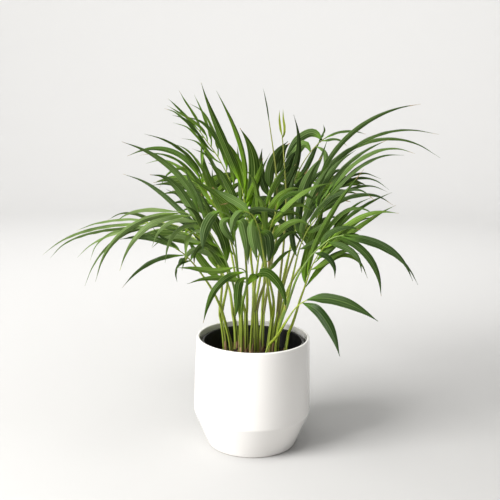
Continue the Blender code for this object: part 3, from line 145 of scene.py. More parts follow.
class ShaderSketch:
    """One material under construction."""

    def __init__(self, name: str, **constants: float) -> None:
        """Start a material with a Principled shader.

        Args:
            name: The material's name.
            constants: Values for the shader's own sockets, with underscores for spaces.
        """
        self.material = bpy.data.materials.new(name)
        self.material.use_nodes = True
        self.tree = self.material.node_tree
        self.tree.nodes.clear()
        self.output = self.tree.nodes.new("ShaderNodeOutputMaterial")
        self.shader = self.tree.nodes.new("ShaderNodeBsdfPrincipled")
        for key, value in constants.items():
            self.shader.inputs[key.replace("_", " ")].default_value = value
        self.tree.links.new(self.shader.outputs[0], self.output.inputs[0])

    def node(self, kind: str, settings: dict | None = None, inputs: dict | None = None) -> bpy.types.Node:
        """Add a node.

        Args:
            kind: The node's type.
            settings: Its own settings, set first.
            inputs: Values or links by socket name or number.

        Returns:
            The node.
        """
        made = self.tree.nodes.new(kind)
        for key, value in (settings or {}).items():
            setattr(made, key, value)
        for key, value in (inputs or {}).items():
            self.feed(made.inputs[key], value)
        return made

    def feed(self, socket: bpy.types.NodeSocket, value: object) -> None:
        """Link a tone to a socket, or set the socket's own value.

        Args:
            socket: The socket.
            value: The tone, or a plain number, colour or vector.
        """
        if isinstance(value, Tone):
            self.tree.links.new(value.socket, socket)
        elif isinstance(value, tuple) and len(value) == 3 and socket.type == "RGBA":
            socket.default_value = (*value, 1.0)
        else:
            socket.default_value = value

    def attribute(self, name: str) -> Tone:
        """A number stored on the mesh's points."""
        return Tone(self, self.node("ShaderNodeAttribute", {"attribute_name": name}).outputs["Fac"])

    def place(self, stretch: Triple = (1.0, 1.0, 1.0)) -> Tone:
        """Position on the object.

        Args:
            stretch: What it is multiplied by along each axis.

        Returns:
            The position.
        """
        here = Tone(self, self.node("ShaderNodeTexCoord").outputs["Object"])
        made = self.node("ShaderNodeVectorMath", {"operation": "MULTIPLY"}, {0: here, 1: stretch})
        return Tone(self, made.outputs[0])

    def height(self) -> Tone:
        """Height above the floor."""
        return Tone(self, self.node("ShaderNodeSeparateXYZ", {}, {0: self.place()}).outputs[2])

    def vector(self, x: Amount, y: Amount, z: Amount) -> Tone:
        """A vector from three values."""
        return Tone(self, self.node("ShaderNodeCombineXYZ", {}, {0: x, 1: y, 2: z}).outputs[0])

    def cloud(self, scale: float, detail: float = 3.0, rough: float = 0.55, at: Tone | None = None) -> Tone:
        """Soft noise.

        Args:
            scale: Its scale.
            detail: Layers of detail.
            rough: Strength of the finer layers.
            at: Where it is read, the object's position by default.

        Returns:
            The noise, about 0.5.
        """
        where = at or self.place()
        inputs = {"Vector": where, "Scale": scale, "Detail": detail, "Roughness": rough}
        return Tone(self, self.node("ShaderNodeTexNoise", {}, inputs).outputs["Fac"])

    def cells(self, scale: float) -> Tone:
        """Distance to the nearest of many scattered points."""
        inputs = {"Vector": self.place(), "Scale": scale}
        return Tone(self, self.node("ShaderNodeTexVoronoi", {}, inputs).outputs["Distance"])

    def mix(self, share: Amount, low: object, high: object) -> Tone:
        """Mix two colours.

        Args:
            share: 0 for the first colour, 1 for the second.
            low: The first colour.
            high: The second colour.

        Returns:
            The mixed colour.
        """
        settings = {"data_type": "RGBA", "clamp_factor": True}
        return Tone(self, self.node("ShaderNodeMix", settings, {0: share, 6: low, 7: high}).outputs[2])

    def bump(self, height: Tone, distance: float, strength: float = 1.0) -> None:
        """Feed a height map to the shader's normal.

        Args:
            height: The height, about 0 to 1.
            distance: How tall 1 is, in metres.
            strength: How much of it shows.
        """
        inputs = {"Height": height, "Distance": distance, "Strength": strength}
        made = self.node("ShaderNodeBump", {}, inputs)
        self.tree.links.new(made.outputs[0], self.shader.inputs["Normal"])

    def set(self, socket: str, value: object) -> None:
        """Feed one of the shader's own sockets."""
        self.feed(self.shader.inputs[socket], value)

    def let_light_through(self, colour: Colour, share: Amount) -> None:
        """Mix in light that comes through from behind, as a thin leaf lets it.

        Args:
            colour: The colour that it takes on the way, the same all over.
            share: How much of the surface does so.
        """
        through = self.node("ShaderNodeBsdfTranslucent", {}, {"Color": colour})
        mixed = self.node("ShaderNodeMixShader", {}, {0: share})
        self.tree.links.new(self.shader.outputs[0], mixed.inputs[1])
        self.tree.links.new(through.outputs[0], mixed.inputs[2])
        self.tree.links.new(mixed.outputs[0], self.output.inputs[0])


# Finishes


class Side(Enum):
    """The two faces of a leaf."""

    UPPER = "upper"
    UNDER = "under"


@dataclass(frozen=True)
class LeafFinish:
    """The surface of a frond's leaflets: the colours of its body, ribs, light through it and dry tips; the rib colour
    also paints highlights on the edges and pleat crests, the deep one painted shade in the pleat troughs, and the glow
    painted light through the base and under face.
    """

    VEIN_WAVES = 34.0
    PLEAT_WAVES = 14.0
    SIDE_RIB_PLACE = 0.47
    BLOTCH_SCALE = 38.0
    SPECK_SCALE = 420.0

    name: str
    deep: Colour
    fresh: Colour
    rib: Colour
    glow: Colour
    roughness: float = 0.40
    gloss: float = 0.08
    coat: float = 0.03
    sheen: float = 0.0
    dry: Colour = (0.36, 0.24, 0.10)

    def material(self, side: Side) -> bpy.types.Material:
        """Make the leaf's material.

        Args:
            side: Which face of the leaf it is for.

        Returns:
            The material.
        """
        under = side is Side.UNDER
        sketch = ShaderSketch(f"{self.name}_{side.value}", Specular_IOR_Level=self.gloss, Coat_Roughness=0.3)
        sketch.set("Coat Weight", 0.0 if under else self.coat)
        sketch.set("Sheen Weight", self.sheen)
        sketch.set("Sheen Roughness", 0.45)
        along = sketch.attribute("along")
        across = sketch.attribute("across")
        tone = sketch.attribute("tone")
        dryness = sketch.attribute("dry")
        blotches = sketch.cloud(self.BLOTCH_SCALE)
        specks = sketch.cloud(self.SPECK_SCALE, detail=2.0)
        body = sketch.mix(tone * 1.02 + blotches * 0.38 - 0.17, self.deep, self.fresh)
        body = sketch.mix(along.rise(0.30, 0.95) * 0.65, body, self.deep)
        veins = (across * self.VEIN_WAVES + blotches * 1.5).sine() * 0.5 + 0.5
        pleats = (across * self.PLEAT_WAVES + blotches * 2.5).sine() * 0.5 + 0.5
        body = sketch.mix(veins * 0.05, body, self.rib)
        # Pleat crests lighter and troughs darker: painted light and shade on the pleats.
        body = sketch.mix(pleats.rise(0.45, 1.0) * 0.11, body, self.rib)
        body = sketch.mix((1.0 - pleats).rise(0.6, 1.0) * 0.26, body, self.deep)
        body = sketch.mix(specks.rise(0.62, 0.80) * 0.18, body, self.deep)
        distance = abs(across)
        ribs = (1.0 - distance.rise(0.015, 0.10)) * (tone * 0.42 + 0.24)
        body = sketch.mix(ribs, body, self.rib)
        side_ribs = (1.0 - abs(distance - self.SIDE_RIB_PLACE).rise(0.0, 0.035)) * (tone * 0.24 + 0.10)
        body = sketch.mix(side_ribs, body, self.rib)
        # Lighter margins in the rib colour: a painted highlight along the edges.
        body = sketch.mix(distance.rise(0.90, 1.0) * 0.45, body, self.rib)
        # The glow colour near the base: painted light shining through the leaflet.
        body = sketch.mix((1.0 - along.rise(0.0, 0.26)) * 0.7, body, self.glow)
        # The under face takes some of the glow colour: painted light shining through.
        if under:
            body = sketch.mix(0.30, body, self.glow)
        ragged = along + (specks - 0.5) * 0.05 + (blotches - 0.5) * 0.12
        withered = ragged.rise(1.0 - dryness * 0.42, 1.0 - dryness * 0.30) * 0.9
        body = sketch.mix(withered, body, self.dry)
        sketch.set("Base Color", body)
        sketch.set("Roughness", blotches * 0.22 + (self.roughness - 0.11 + (0.12 if under else 0.0)))
        relief = veins * 0.4 + pleats * 0.5 + specks * 0.35 + blotches * 0.4
        sketch.bump(relief, distance=0.0004, strength=0.7)
        sketch.let_light_through(self._light_within(), (tone * 0.22 + 0.21) * (1.0 - withered * 0.7))
        return sketch.material

    def _light_within(self) -> Colour:
        """The colour of the light that comes through a leaflet, between its body and its glow."""
        return tuple(0.30 * low + 0.35 * high + 0.35 * lit for low, high, lit in zip(self.deep, self.fresh, self.glow))


@dataclass(frozen=True)
class StalkFinish:
    """The smooth rind of a stalk, streaked lengthwise."""

    STREAK_SCALE = 3.2
    SCURF_SCALE = 700.0

    name: str
    shade: Colour
    light: Colour
    foot: Colour
    roughness: float = 0.38

    def material(self) -> bpy.types.Material:
        """Make the stalk's material.

        Returns:
            The material.
        """
        sketch = ShaderSketch(self.name, Specular_IOR_Level=0.5, Coat_Roughness=0.25)
        sketch.set("Coat Weight", 0.15)
        along = sketch.attribute("along")
        first, second = sketch.attribute("across"), sketch.attribute("dry")
        streak_place = sketch.vector(first * 1.6, second * 1.6, along * 3.0)
        streaks = sketch.cloud(self.STREAK_SCALE, detail=4.0, rough=0.6, at=streak_place)
        scurf = sketch.cloud(self.SCURF_SCALE, detail=2.0)
        body = sketch.mix(streaks.rise(0.34, 0.66), self.shade, self.light)
        body = sketch.mix((1.0 - along.rise(0.0, 0.16)) * 0.7, body, self.foot)
        body = sketch.mix(scurf.rise(0.66, 0.78) * 0.35, body, self.foot)
        sketch.set("Base Color", body)
        sketch.set("Roughness", streaks * 0.25 + (self.roughness - 0.12))
        sketch.bump(streaks + scurf * 0.2, distance=0.0003, strength=0.6)
        return sketch.material


@dataclass(frozen=True)
class SheathFinish:
    """Fibrous leaf sheath, fresh or dead, with its own colour at the soil, along it and at its mouth, and a painted
    shade in its grooves.
    """

    STRAND_SCALE = 6.5
    PATCH_SCALE = 60.0

    name: str
    root: Colour
    middle: Colour
    mouth: Colour
    fibre: Colour
    roughness: float = 0.55
    # groove is a dark colour painted as shade in the grooves and inside the mouth.
    groove: Colour = (0.045, 0.050, 0.014)

    def material(self) -> bpy.types.Material:
        """Make the sheath's material.

        Returns:
            The material.
        """
        sketch = ShaderSketch(self.name, Specular_IOR_Level=0.4)
        along = sketch.attribute("along")
        first, second = sketch.attribute("across"), sketch.attribute("dry")
        strand_place = sketch.vector(first * 3.0, second * 3.0, along * 1.3)
        strands = sketch.cloud(self.STRAND_SCALE, detail=4.0, rough=0.65, at=strand_place)
        patches = sketch.cloud(self.PATCH_SCALE)
        where = along + (patches - 0.5) * 0.35
        body = sketch.mix(where.rise(0.10, 0.42), self.root, self.middle)
        body = sketch.mix(where.rise(0.45, 0.95), body, self.mouth)
        body = sketch.mix(strands.rise(0.50, 0.70) * 0.45, body, self.fibre)
        body = sketch.mix(patches.rise(0.62, 0.74) * 0.35, body, self.root)
        # Darkens toward the groove colour where tone is low: painted shade in the grooves between lobes and inside the
        # mouth; a piece that stores no tone is darkened all over.
        painted_groove_shade = 1.0 - sketch.attribute("tone").rise(0.05, 0.50)
        body = sketch.mix(painted_groove_shade * 0.9, body, self.groove)
        sketch.set("Base Color", body)
        sketch.set("Roughness", strands * 0.3 + (self.roughness - 0.15))
        sketch.bump(strands * 0.8 + patches * 0.3, distance=0.0005, strength=0.8)
        return sketch.material


@dataclass(frozen=True)
class GlazeFinish:
    """White glaze over stoneware, and the bare foot under it."""

    WASH_SCALE = 9.0
    PORE_SCALE = 420.0
    RIPPLE_SCALE = 46.0

    name: str = "white_glaze_coat"
    white: Colour = (0.86, 0.845, 0.825)
    thin: Colour = (0.80, 0.775, 0.745)
    pinhole: Colour = (0.62, 0.58, 0.54)
    clay: Colour = (0.66, 0.60, 0.53)
    foot_height: float = 0.0012

    def material(self) -> bpy.types.Material:
        """Make the glaze's material.

        Returns:
            The material.
        """
        sketch = ShaderSketch(self.name, Specular_IOR_Level=0.5, Coat_Roughness=0.06, Coat_IOR=1.5)
        sketch.set("Coat Weight", 0.35)
        bare = 1.0 - sketch.height().rise(self.foot_height * 0.7, self.foot_height)
        wash = sketch.cloud(self.WASH_SCALE, detail=2.0)
        pores = sketch.cells(self.PORE_SCALE)
        ripple = sketch.cloud(self.RIPPLE_SCALE, detail=2.0)
        thinness = wash.rise(0.45, 0.72) * 0.35
        body = sketch.mix(thinness, self.white, self.thin)
        body = sketch.mix((1.0 - pores.rise(0.05, 0.16)) * 0.05, body, self.pinhole)
        body = sketch.mix(bare, body, self.clay)
        sketch.set("Base Color", body)
        sketch.set("Roughness", wash * 0.08 + 0.15 + bare * 0.55)
        pits = 1.0 - pores.rise(0.02, 0.10)
        sketch.bump(ripple * 0.8 - pits * 0.1, distance=0.0005, strength=0.35)
        return sketch.material


@dataclass(frozen=True)
class PlasticFinish:
    """Thin black moulded plastic, dusty where soil has splashed it."""

    DRAWN_SCALE = 30.0
    SPLASH_SCALE = 150.0

    name: str = "black_moulded_plastic"
    black: Colour = (0.006, 0.006, 0.006)
    dust: Colour = (0.050, 0.042, 0.033)
    splash_band: Span = (0.128, 0.148)

    def material(self) -> bpy.types.Material:
        """Make the plastic's material.

        Returns:
            The material.
        """
        sketch = ShaderSketch(self.name, Specular_IOR_Level=0.45)
        drawn = sketch.cloud(self.DRAWN_SCALE, rough=0.6, at=sketch.place((1.0, 1.0, 6.0)))
        splash = sketch.cloud(self.SPLASH_SCALE, detail=4.0, rough=0.7)
        low = 1.0 - sketch.height().rise(*self.splash_band)
        body = sketch.mix(splash.rise(0.52, 0.72) * low * 0.55, self.black, self.dust)
        sketch.set("Base Color", body)
        sketch.set("Roughness", drawn * 0.25 + 0.28)
        sketch.bump(drawn * 0.6 + splash * 0.3, distance=0.0004, strength=0.5)
        return sketch.material


@dataclass(frozen=True)
class GritFinish:
    """Loose bits of the potting mix, whose shade each bit carries."""

    name: str
    dark: Colour
    light: Colour
    roughness: float = 0.9
    grain: float = 500.0
    coarser: float = 0.22

    def material(self) -> bpy.types.Material:
        """Make the material of one kind of bit.

        Returns:
            The material.
        """
        sketch = ShaderSketch(self.name, Specular_IOR_Level=0.25)
        tone = sketch.attribute("tone")
        coarse = sketch.cloud(self.grain * self.coarser)
        fine = sketch.cloud(self.grain, detail=4.0, rough=0.7)
        body = sketch.mix(tone * 0.7 + coarse * 0.7 - 0.25, self.dark, self.light)
        body = sketch.mix(fine.rise(0.50, 0.72) * 0.5, body, self.dark)
        sketch.set("Base Color", body)
        sketch.set("Roughness", fine * 0.15 + (self.roughness - 0.08))
        sketch.bump(coarse * 0.6 + fine * 0.6, distance=0.0009, strength=0.9)
        return sketch.material


class LeafMood(Enum):
    """The looks that the fronds' leaflets come in."""

    DEEP = LeafFinish(
        "deep_leaf",
        deep=(0.007, 0.028, 0.001),
        fresh=(0.135, 0.255, 0.016),
        rib=(0.465, 0.620, 0.170),
        glow=(0.242, 0.500, 0.020),
    )
    TALL = LeafFinish(
        "tall_leaf",
        deep=(0.007, 0.032, 0.001),
        fresh=(0.122, 0.250, 0.008),
        rib=(0.484, 0.640, 0.160),
        glow=(0.279, 0.560, 0.010),
    )
    FRESH = LeafFinish(
        "fresh_leaf",
        deep=(0.019, 0.064, 0.002),
        fresh=(0.209, 0.355, 0.048),
        rib=(0.502, 0.660, 0.200),
        glow=(0.316, 0.580, 0.030),
    )
    PALE = LeafFinish(
        "pale_leaf",
        deep=(0.060, 0.115, 0.018),
        fresh=(0.330, 0.465, 0.175),
        rib=(0.540, 0.655, 0.300),
        glow=(0.335, 0.560, 0.080),
        dry=(0.391, 0.400, 0.070),
    )
    # A bluer, greyer fresh colour that paints the silvery sheen of reflected light, besides a little real sheen.
    PAINTED_SHEEN = LeafFinish(
        "painted_sheen_leaf",
        deep=(0.009, 0.036, 0.002),
        fresh=(0.194, 0.330, 0.078),
        rib=(0.465, 0.600, 0.240),
        glow=(0.223, 0.440, 0.040),
        sheen=0.05,
    )
    DUSKY = LeafFinish(
        "dusky_leaf",
        deep=(0.007, 0.026, 0.003),
        fresh=(0.074, 0.142, 0.030),
        rib=(0.279, 0.400, 0.140),
        glow=(0.149, 0.300, 0.030),
    )
    SHADED = LeafFinish(
        "shaded_leaf",
        deep=(0.005, 0.017, 0.001),
        fresh=(0.074, 0.128, 0.028),
        rib=(0.205, 0.300, 0.100),
        glow=(0.074, 0.150, 0.020),
        roughness=0.5,
        gloss=0.05,
        coat=0.0,
    )
    YOUNG = LeafFinish(
        "young_leaf",
        deep=(0.240, 0.300, 0.025),
        fresh=(0.440, 0.510, 0.090),
        rib=(0.502, 0.600, 0.160),
        glow=(0.446, 0.580, 0.080),
    )
    GLOSSY = LeafFinish(
        "glossy_leaf",
        deep=(0.008, 0.032, 0.002),
        fresh=(0.054, 0.112, 0.020),
        rib=(0.223, 0.360, 0.090),
        glow=(0.112, 0.260, 0.020),
        roughness=0.30,
        gloss=0.35,
        coat=0.1,
    )


class Rind(Enum):
    """The looks that the stalks come in."""

    BRIGHT = StalkFinish(
        "bright_stalk", shade=(0.07, 0.12, 0.006), light=(0.46, 0.56, 0.050), foot=(0.20, 0.25, 0.02)
    )
    BROWN = StalkFinish(
        "brown_stalk", shade=(0.06, 0.065, 0.012), light=(0.33, 0.37, 0.05), foot=(0.15, 0.14, 0.03)
    )
    GREEN = StalkFinish(
        "green_stalk", shade=(0.04, 0.09, 0.006), light=(0.24, 0.38, 0.045), foot=(0.18, 0.25, 0.02)
    )


# Mesh writing


class SmoothRoute:
    """A smooth route through points, read by its share of length."""

    STEPS = 24
    LOOK_AHEAD = 0.012

    def __init__(self, points: np.ndarray) -> None:
        """Lay the route through points, with tangents weighted toward the shorter span.

        Args:
            points: The points, one row each.
        """
        points = np.asarray(points, float)
        spans = np.diff(points, axis=0)
        lengths = np.linalg.norm(spans, axis=1)
        units = spans / lengths[:, None]
        inner = units[:-1] * lengths[1:, None] + units[1:] * lengths[:-1, None]
        inner /= np.linalg.norm(inner, axis=1)[:, None] + TINY
        tangents = np.vstack([units[:1], inner, units[-1:]])
        t = np.linspace(0, 1, self.STEPS, endpoint=False)[:, None]
        rows = []
        for index, length in enumerate(lengths):
            start, end = points[index], points[index + 1]
            leave, arrive = tangents[index] * length, tangents[index + 1] * length
            rows.append(
                start * (2 * t**3 - 3 * t**2 + 1)
                + leave * (t**3 - 2 * t**2 + t)
                + end * (3 * t**2 - 2 * t**3)
                + arrive * (t**3 - t**2)
            )
        self.samples = np.vstack(rows + [points[-1:]])
        steps = np.linalg.norm(np.diff(self.samples, axis=0), axis=1)
        reached = np.concatenate([[0.0], np.cumsum(steps)])
        self.length = float(reached[-1])
        self.shares = reached / self.length
        self.knots = self.shares[:: self.STEPS]

    def at(self, shares: np.ndarray) -> np.ndarray:
        """Points at shares of the length."""
        return np.stack([np.interp(shares, self.shares, self.samples[:, k]) for k in range(3)], axis=1)

    def heading(self, shares: np.ndarray) -> np.ndarray:
        """Unit directions at shares of the length."""
        ahead, behind = np.clip(shares + self.LOOK_AHEAD, 0, 1), np.clip(shares - self.LOOK_AHEAD, 0, 1)
        return unit_rows(self.at(ahead) - self.at(behind))

    def carried(self, values: np.ndarray, shares: np.ndarray) -> np.ndarray:
        """Read values that belong to the route's own points between them.

        Args:
            values: A number or a direction for each point.
            shares: Shares of the length.

        Returns:
            The values there.
        """
        values = np.asarray(values, float)
        if values.ndim == 1:
            return np.interp(shares, self.knots, values)
        return np.stack([np.interp(shares, self.knots, values[:, k]) for k in range(3)], axis=1)


def relaxed(points: np.ndarray, share: float, stiffness: float = 0.02) -> np.ndarray:
    """Draw points toward the one plain arc that fits them best.

    Args:
        points: The points, one row each. The first and last stay.
        share: How far they are drawn, 0 to 1.
        stiffness: How strongly the arc keeps to a straight line.

    Returns:
        The new points.
    """
    reached = np.concatenate([[0.0], np.cumsum(np.linalg.norm(np.diff(points, axis=0), axis=1))])
    t = (reached / reached[-1])[:, None]
    ends = points[:1] * (1 - t) ** 3 + points[-1:] * t**3
    pulls = np.hstack([3 * t * (1 - t) ** 2, 3 * t**2 * (1 - t)])
    even = stiffness * np.eye(2)
    straight = points[:1] + (points[-1:] - points[:1]) * np.array([[1 / 3], [2 / 3]])
    handles = np.linalg.solve(pulls.T @ pulls + even, pulls.T @ (points - ends) + even @ straight)
    return points + share * (ends + pulls @ handles - points)


def unit_rows(rows: np.ndarray) -> np.ndarray:
    """Rows scaled to unit length."""
    return rows / (np.linalg.norm(rows, axis=1)[:, None] + TINY)


def ease(value: np.ndarray, low: float, high: float) -> np.ndarray:
    """Smooth step from 0 at low to 1 at high."""
    t = np.clip((value - low) / (high - low), 0, 1)
    return t * t * (3 - 2 * t)


def widest(points: np.ndarray) -> float:
    """The greatest distance of any point from the pots' axis."""
    return float(np.hypot(points[:, 0], points[:, 1]).max())


def widest_below(points: np.ndarray) -> float:
    """The radius of the flat underside of a round solid."""
    return widest(points[points[:, 2] < points[:, 2].min() + 1e-4])


class MeshBasket:
    """Collects closed shells into one mesh, with the numbers that the shaders read."""

    VALUES = ("along", "across", "tone", "dry")

    def __init__(self) -> None:
        """Start empty."""
        self.points: list[np.ndarray] = []
        self.faces: list[tuple[int, ...]] = []
        self.finishes: list[int] = []
        self.values: dict[str, list[np.ndarray]] = {name: [] for name in self.VALUES}
        self.count = 0

    def _keep(self, points: np.ndarray, values: dict[str, np.ndarray]) -> int:
        """Store points with their values.

        Args:
            points: The points, one row each.
            values: Numbers for the shaders. What isn't given is 0.

        Returns:
            The number of the first point.
        """
        start = self.count
        self.points.append(points)
        for name in self.VALUES:
            given = values.get(name, 0.0)
            self.values[name].append(np.broadcast_to(np.asarray(given, float).ravel(), (len(points),)))
        self.count += len(points)
        return start

    def _band(self, start: int, sides: int) -> None:
        """Add the faces between two rings.

        Args:
            start: The number of the lower ring's first point.
            sides: How many points each ring has.
        """
        for side in range(sides):
            after = (side + 1) % sides
            self.faces.append((start + side, start + after, start + sides + after, start + sides + side))

    def tube(self, rings: np.ndarray, values: dict[str, np.ndarray], finishes: Sequence[int] = (0,)) -> None:
        """Add a closed tube through rings of points.

        Args:
            rings: The rings, as (ring, point, 3).
            values: Numbers for the shaders, one for each point or one for all.
            finishes: The material's number for each side of the tube, or one for all.
        """
        rows, sides, _ = rings.shape
        flat = {name: np.broadcast_to(value, (rows, sides)).reshape(-1) for name, value in values.items()}
        start = self._keep(rings.reshape(-1, 3), flat)
        numbers = list(finishes) * (sides if len(finishes) == 1 else 1)
        for row in range(rows - 1):
            self._band(start + row * sides, sides)
            self.finishes += numbers
        last = start + (rows - 1) * sides
        self.faces.append(tuple(range(start + sides - 1, start - 1, -1)))
        self.faces.append(tuple(range(last, last + sides)))
        self.finishes += [numbers[0], numbers[0]]

    def spin(self, profile: Sequence[Pair], segments: int) -> None:
        """Add a solid of revolution.

        Args:
            profile: Points of (radius, height) from one end on the axis to the other.
            segments: Steps around the axis.
        """
        angles = np.arange(segments) * FULL_TURN / segments
        radii = np.array([point[0] for point in profile[1:-1]])
        heights = np.array([point[1] for point in profile[1:-1]])
        x = radii[:, None] * np.cos(angles)
        y = radii[:, None] * np.sin(angles)
        z = np.broadcast_to(heights[:, None], x.shape)
        points = np.stack([x, y, z], axis=2).reshape(-1, 3)
        ends = np.array([[0, 0, profile[0][1]], [0, 0, profile[-1][1]]])
        start = self._keep(np.vstack([points, ends]), {})
        rows = len(radii)
        for row in range(rows - 1):
            self._band(start + row * segments, segments)
        first, last = start + rows * segments, start + rows * segments + 1
        top = start + (rows - 1) * segments
        for side in range(segments):
            after = (side + 1) % segments
            self.faces.append((first, start + after, start + side))
            self.faces.append((last, top + side, top + after))
        self.finishes += [0] * ((rows + 1) * segments)

    def solid(self, points: np.ndarray, faces: np.ndarray, tone: float) -> None:
        """Add a ready-made closed solid.

        Args:
            points: Its points.
            faces: Its faces, as numbers of its points.
            tone: A number for the shader.
        """
        start = self._keep(points, {"tone": np.array(tone)})
        self.faces += [tuple(int(index) + start for index in face) for face in faces]
        self.finishes += [0] * len(faces)

    def object(self, name: str, materials: Iterable[bpy.types.Material], sharp: float = 50.0) -> bpy.types.Object:
        """Make the object.

        Args:
            name: The piece's name.
            materials: Its materials, in the order of the finish numbers.
            sharp: Edges that turn more than this many degrees stay sharp.

        Returns:
            The object, linked to the scene.
        """
        mesh = bpy.data.meshes.new(name)
        mesh.from_pydata(np.vstack(self.points).tolist(), [], self.faces)
        for material in materials:
            mesh.materials.append(material)
        mesh.polygons.foreach_set("material_index", self.finishes)
        for key, parts in self.values.items():
            stored = mesh.attributes.new(key, "FLOAT", "POINT")
            stored.data.foreach_set("value", np.concatenate(parts).astype(np.float32))
        mesh.shade_smooth()
        mesh.set_sharp_from_angle(angle=math.radians(sharp))
        made = bpy.data.objects.new(name, mesh)
        bpy.context.scene.collection.objects.link(made)
        return made


def place_piece(piece: bpy.types.Object, slot: str, *nodes: str) -> None:
    """Let a piece ride on the plant's one body, in the place of the nodes it stands for.

    Args:
        piece: The visible piece.
        slot: Not used.
        nodes: The frame's nodes it replaces.
    """
    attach(piece, "root")
    if nodes:
        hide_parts(*nodes)
    LOG.info("%s: %d faces", piece.name, len(piece.data.polygons))


# Middle lines worked out from the frame


@dataclass
class LeafletRun:
    """One leaflet's middle line, its directions across and its width."""

    points: np.ndarray
    across: np.ndarray
    width: float


@dataclass
class FrondRun:
    """A frond's stalk and rachis line with its radii, and its leaflets."""

    points: np.ndarray
    radii: np.ndarray
    leaflets: list[LeafletRun]


class FrameReader:
    """Finds rings of corners in a node's solid, and from them its middle lines."""

    LEAF_SIDES = 4
    CANE_SIDES = 8
    STUB_THICKNESS = 0.0011

    def __init__(self, node: str) -> None:
        """Weld a copy of the node's mesh.

        Args:
            node: The node's name.
        """
        maker = bmesh.new()
        maker.from_mesh(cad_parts[node].data)
        bmesh.ops.remove_doubles(maker, verts=maker.verts, dist=1e-6)
        maker.verts.ensure_lookup_table()
        self.points = np.array([corner.co[:] for corner in maker.verts])
        self.near = [{edge.other_vert(corner).index for edge in corner.link_edges} for corner in maker.verts]
        maker.free()

    def _levels(self, start: set[int], size: int, avoid: Iterable[int] = ()) -> list[list[int]]:
        """Walk outward in levels of one size.

        Args:
            start: The first ring.
            size: How many corners each ring has.
            avoid: The corners that aren't walked on.

        Returns:
            The rings, the first included. The first level of another size is left out.
        """
        seen = set(start) | set(avoid)
        level = set(start)
        found = []
        while len(level) == size:
            found.append(sorted(level))
            level = set().union(*(self.near[index] for index in level)) - seen
            seen |= level
        return found

    def _is_tip(self, index: int) -> bool:
        """Tell a leaflet's tip: it has four neighbours, all on one side of it.

        Args:
            index: The corner's number.

        Returns:
            Whether it is a tip.
        """
        around = list(self.near[index])
        if len(around) != self.LEAF_SIDES:
            return False
        headings = unit_rows(self.points[around] - self.points[index])
        return float((headings @ headings.T).min()) > 0.0

    def _ring_axes(self, ring: list[int]) -> tuple[np.ndarray, np.ndarray, float, float]:
        """Measure a four-cornered ring.

        Args:
            ring: Its corners' numbers.

        Returns:
            Its centre, the direction of its long side, its long side and its short side.
        """
        corners = self.points[ring]
        centre = corners.mean(axis=0)
        _, _, axes = np.linalg.svd(corners - centre)
        wide = np.abs((corners - centre) @ axes[0]).max() * 2
        thick = np.abs((corners - centre) @ axes[1]).max() * 2
        return centre, axes[0], float(wide), float(thick)

    def frond(self) -> FrondRun:
        """Read a frond.

        Returns:
            The frond's lines.
        """
        taken: set[int] = set()
        leaflets = []
        for tip in range(len(self.points)):
            if not self._is_tip(tip):
                continue
            rings = self._levels(self.near[tip], self.LEAF_SIDES, {tip})
            axes = [self._ring_axes(ring) for ring in rings]
            stub = next((n for n, ring in enumerate(axes) if ring[3] > self.STUB_THICKNESS), len(rings))
            if not 2 <= stub < len(rings) - 1:
                continue
            taken.update([tip], *rings[: stub + 1])
            blade = axes[: stub + 1]
            base = self.points[rings[stub + 1]].mean(axis=0)
            points = [self.points[tip], *(ring[0] for ring in blade), base]
            across = [blade[0][1], *(ring[1] for ring in blade), blade[-1][1]]
            leaflets.append(self._leaflet(points[::-1], across[::-1], max(ring[2] for ring in blade)))
        centres, radii = self.column(self.LEAF_SIDES, frozenset(taken))
        return FrondRun(centres, radii, leaflets)

    @staticmethod
    def _leaflet(points: list[np.ndarray], across: list[np.ndarray], width: float) -> LeafletRun:
        """Make a leaflet's run, with its directions across on one side all along.

        Args:
            points: The middle line, from the base to the tip.
            across: The directions across, each on either side.
            width: The leaflet's greatest width.

        Returns:
            The run.
        """
        sides = [across[0]]
        for following in across[1:]:
            sides.append(following if following @ sides[-1] >= 0 else -following)
        return LeafletRun(np.array(points), np.array(sides), width)

    def column(self, sides: int, avoid: frozenset[int] = frozenset()) -> tuple[np.ndarray, np.ndarray]:
        """Read an upright tube.

        Args:
            sides: How many corners each ring has.
            avoid: The corners that belong to something else.

        Returns:
            The rings' centres and radii from the lowest up.
        """
        own = [index for index in range(len(self.points)) if index not in avoid]
        foot = set(sorted(own, key=lambda index: self.points[index][2])[:sides])
        rings = self._levels(foot, sides, avoid)
        centres = np.array([self.points[ring].mean(axis=0) for ring in rings])
        radii = np.array([np.linalg.norm(self.points[r] - c, axis=1).mean() for r, c in zip(rings, centres)])
        return centres, radii


# The fronds


@dataclass(frozen=True)
class Blade:
    """A leaflet's stations: middle line, directions, half widths, fold in radians and ripple of its edge."""

    centres: np.ndarray
    across: np.ndarray
    upward: np.ndarray
    half_width: np.ndarray
    fold: np.ndarray
    waves: np.ndarray


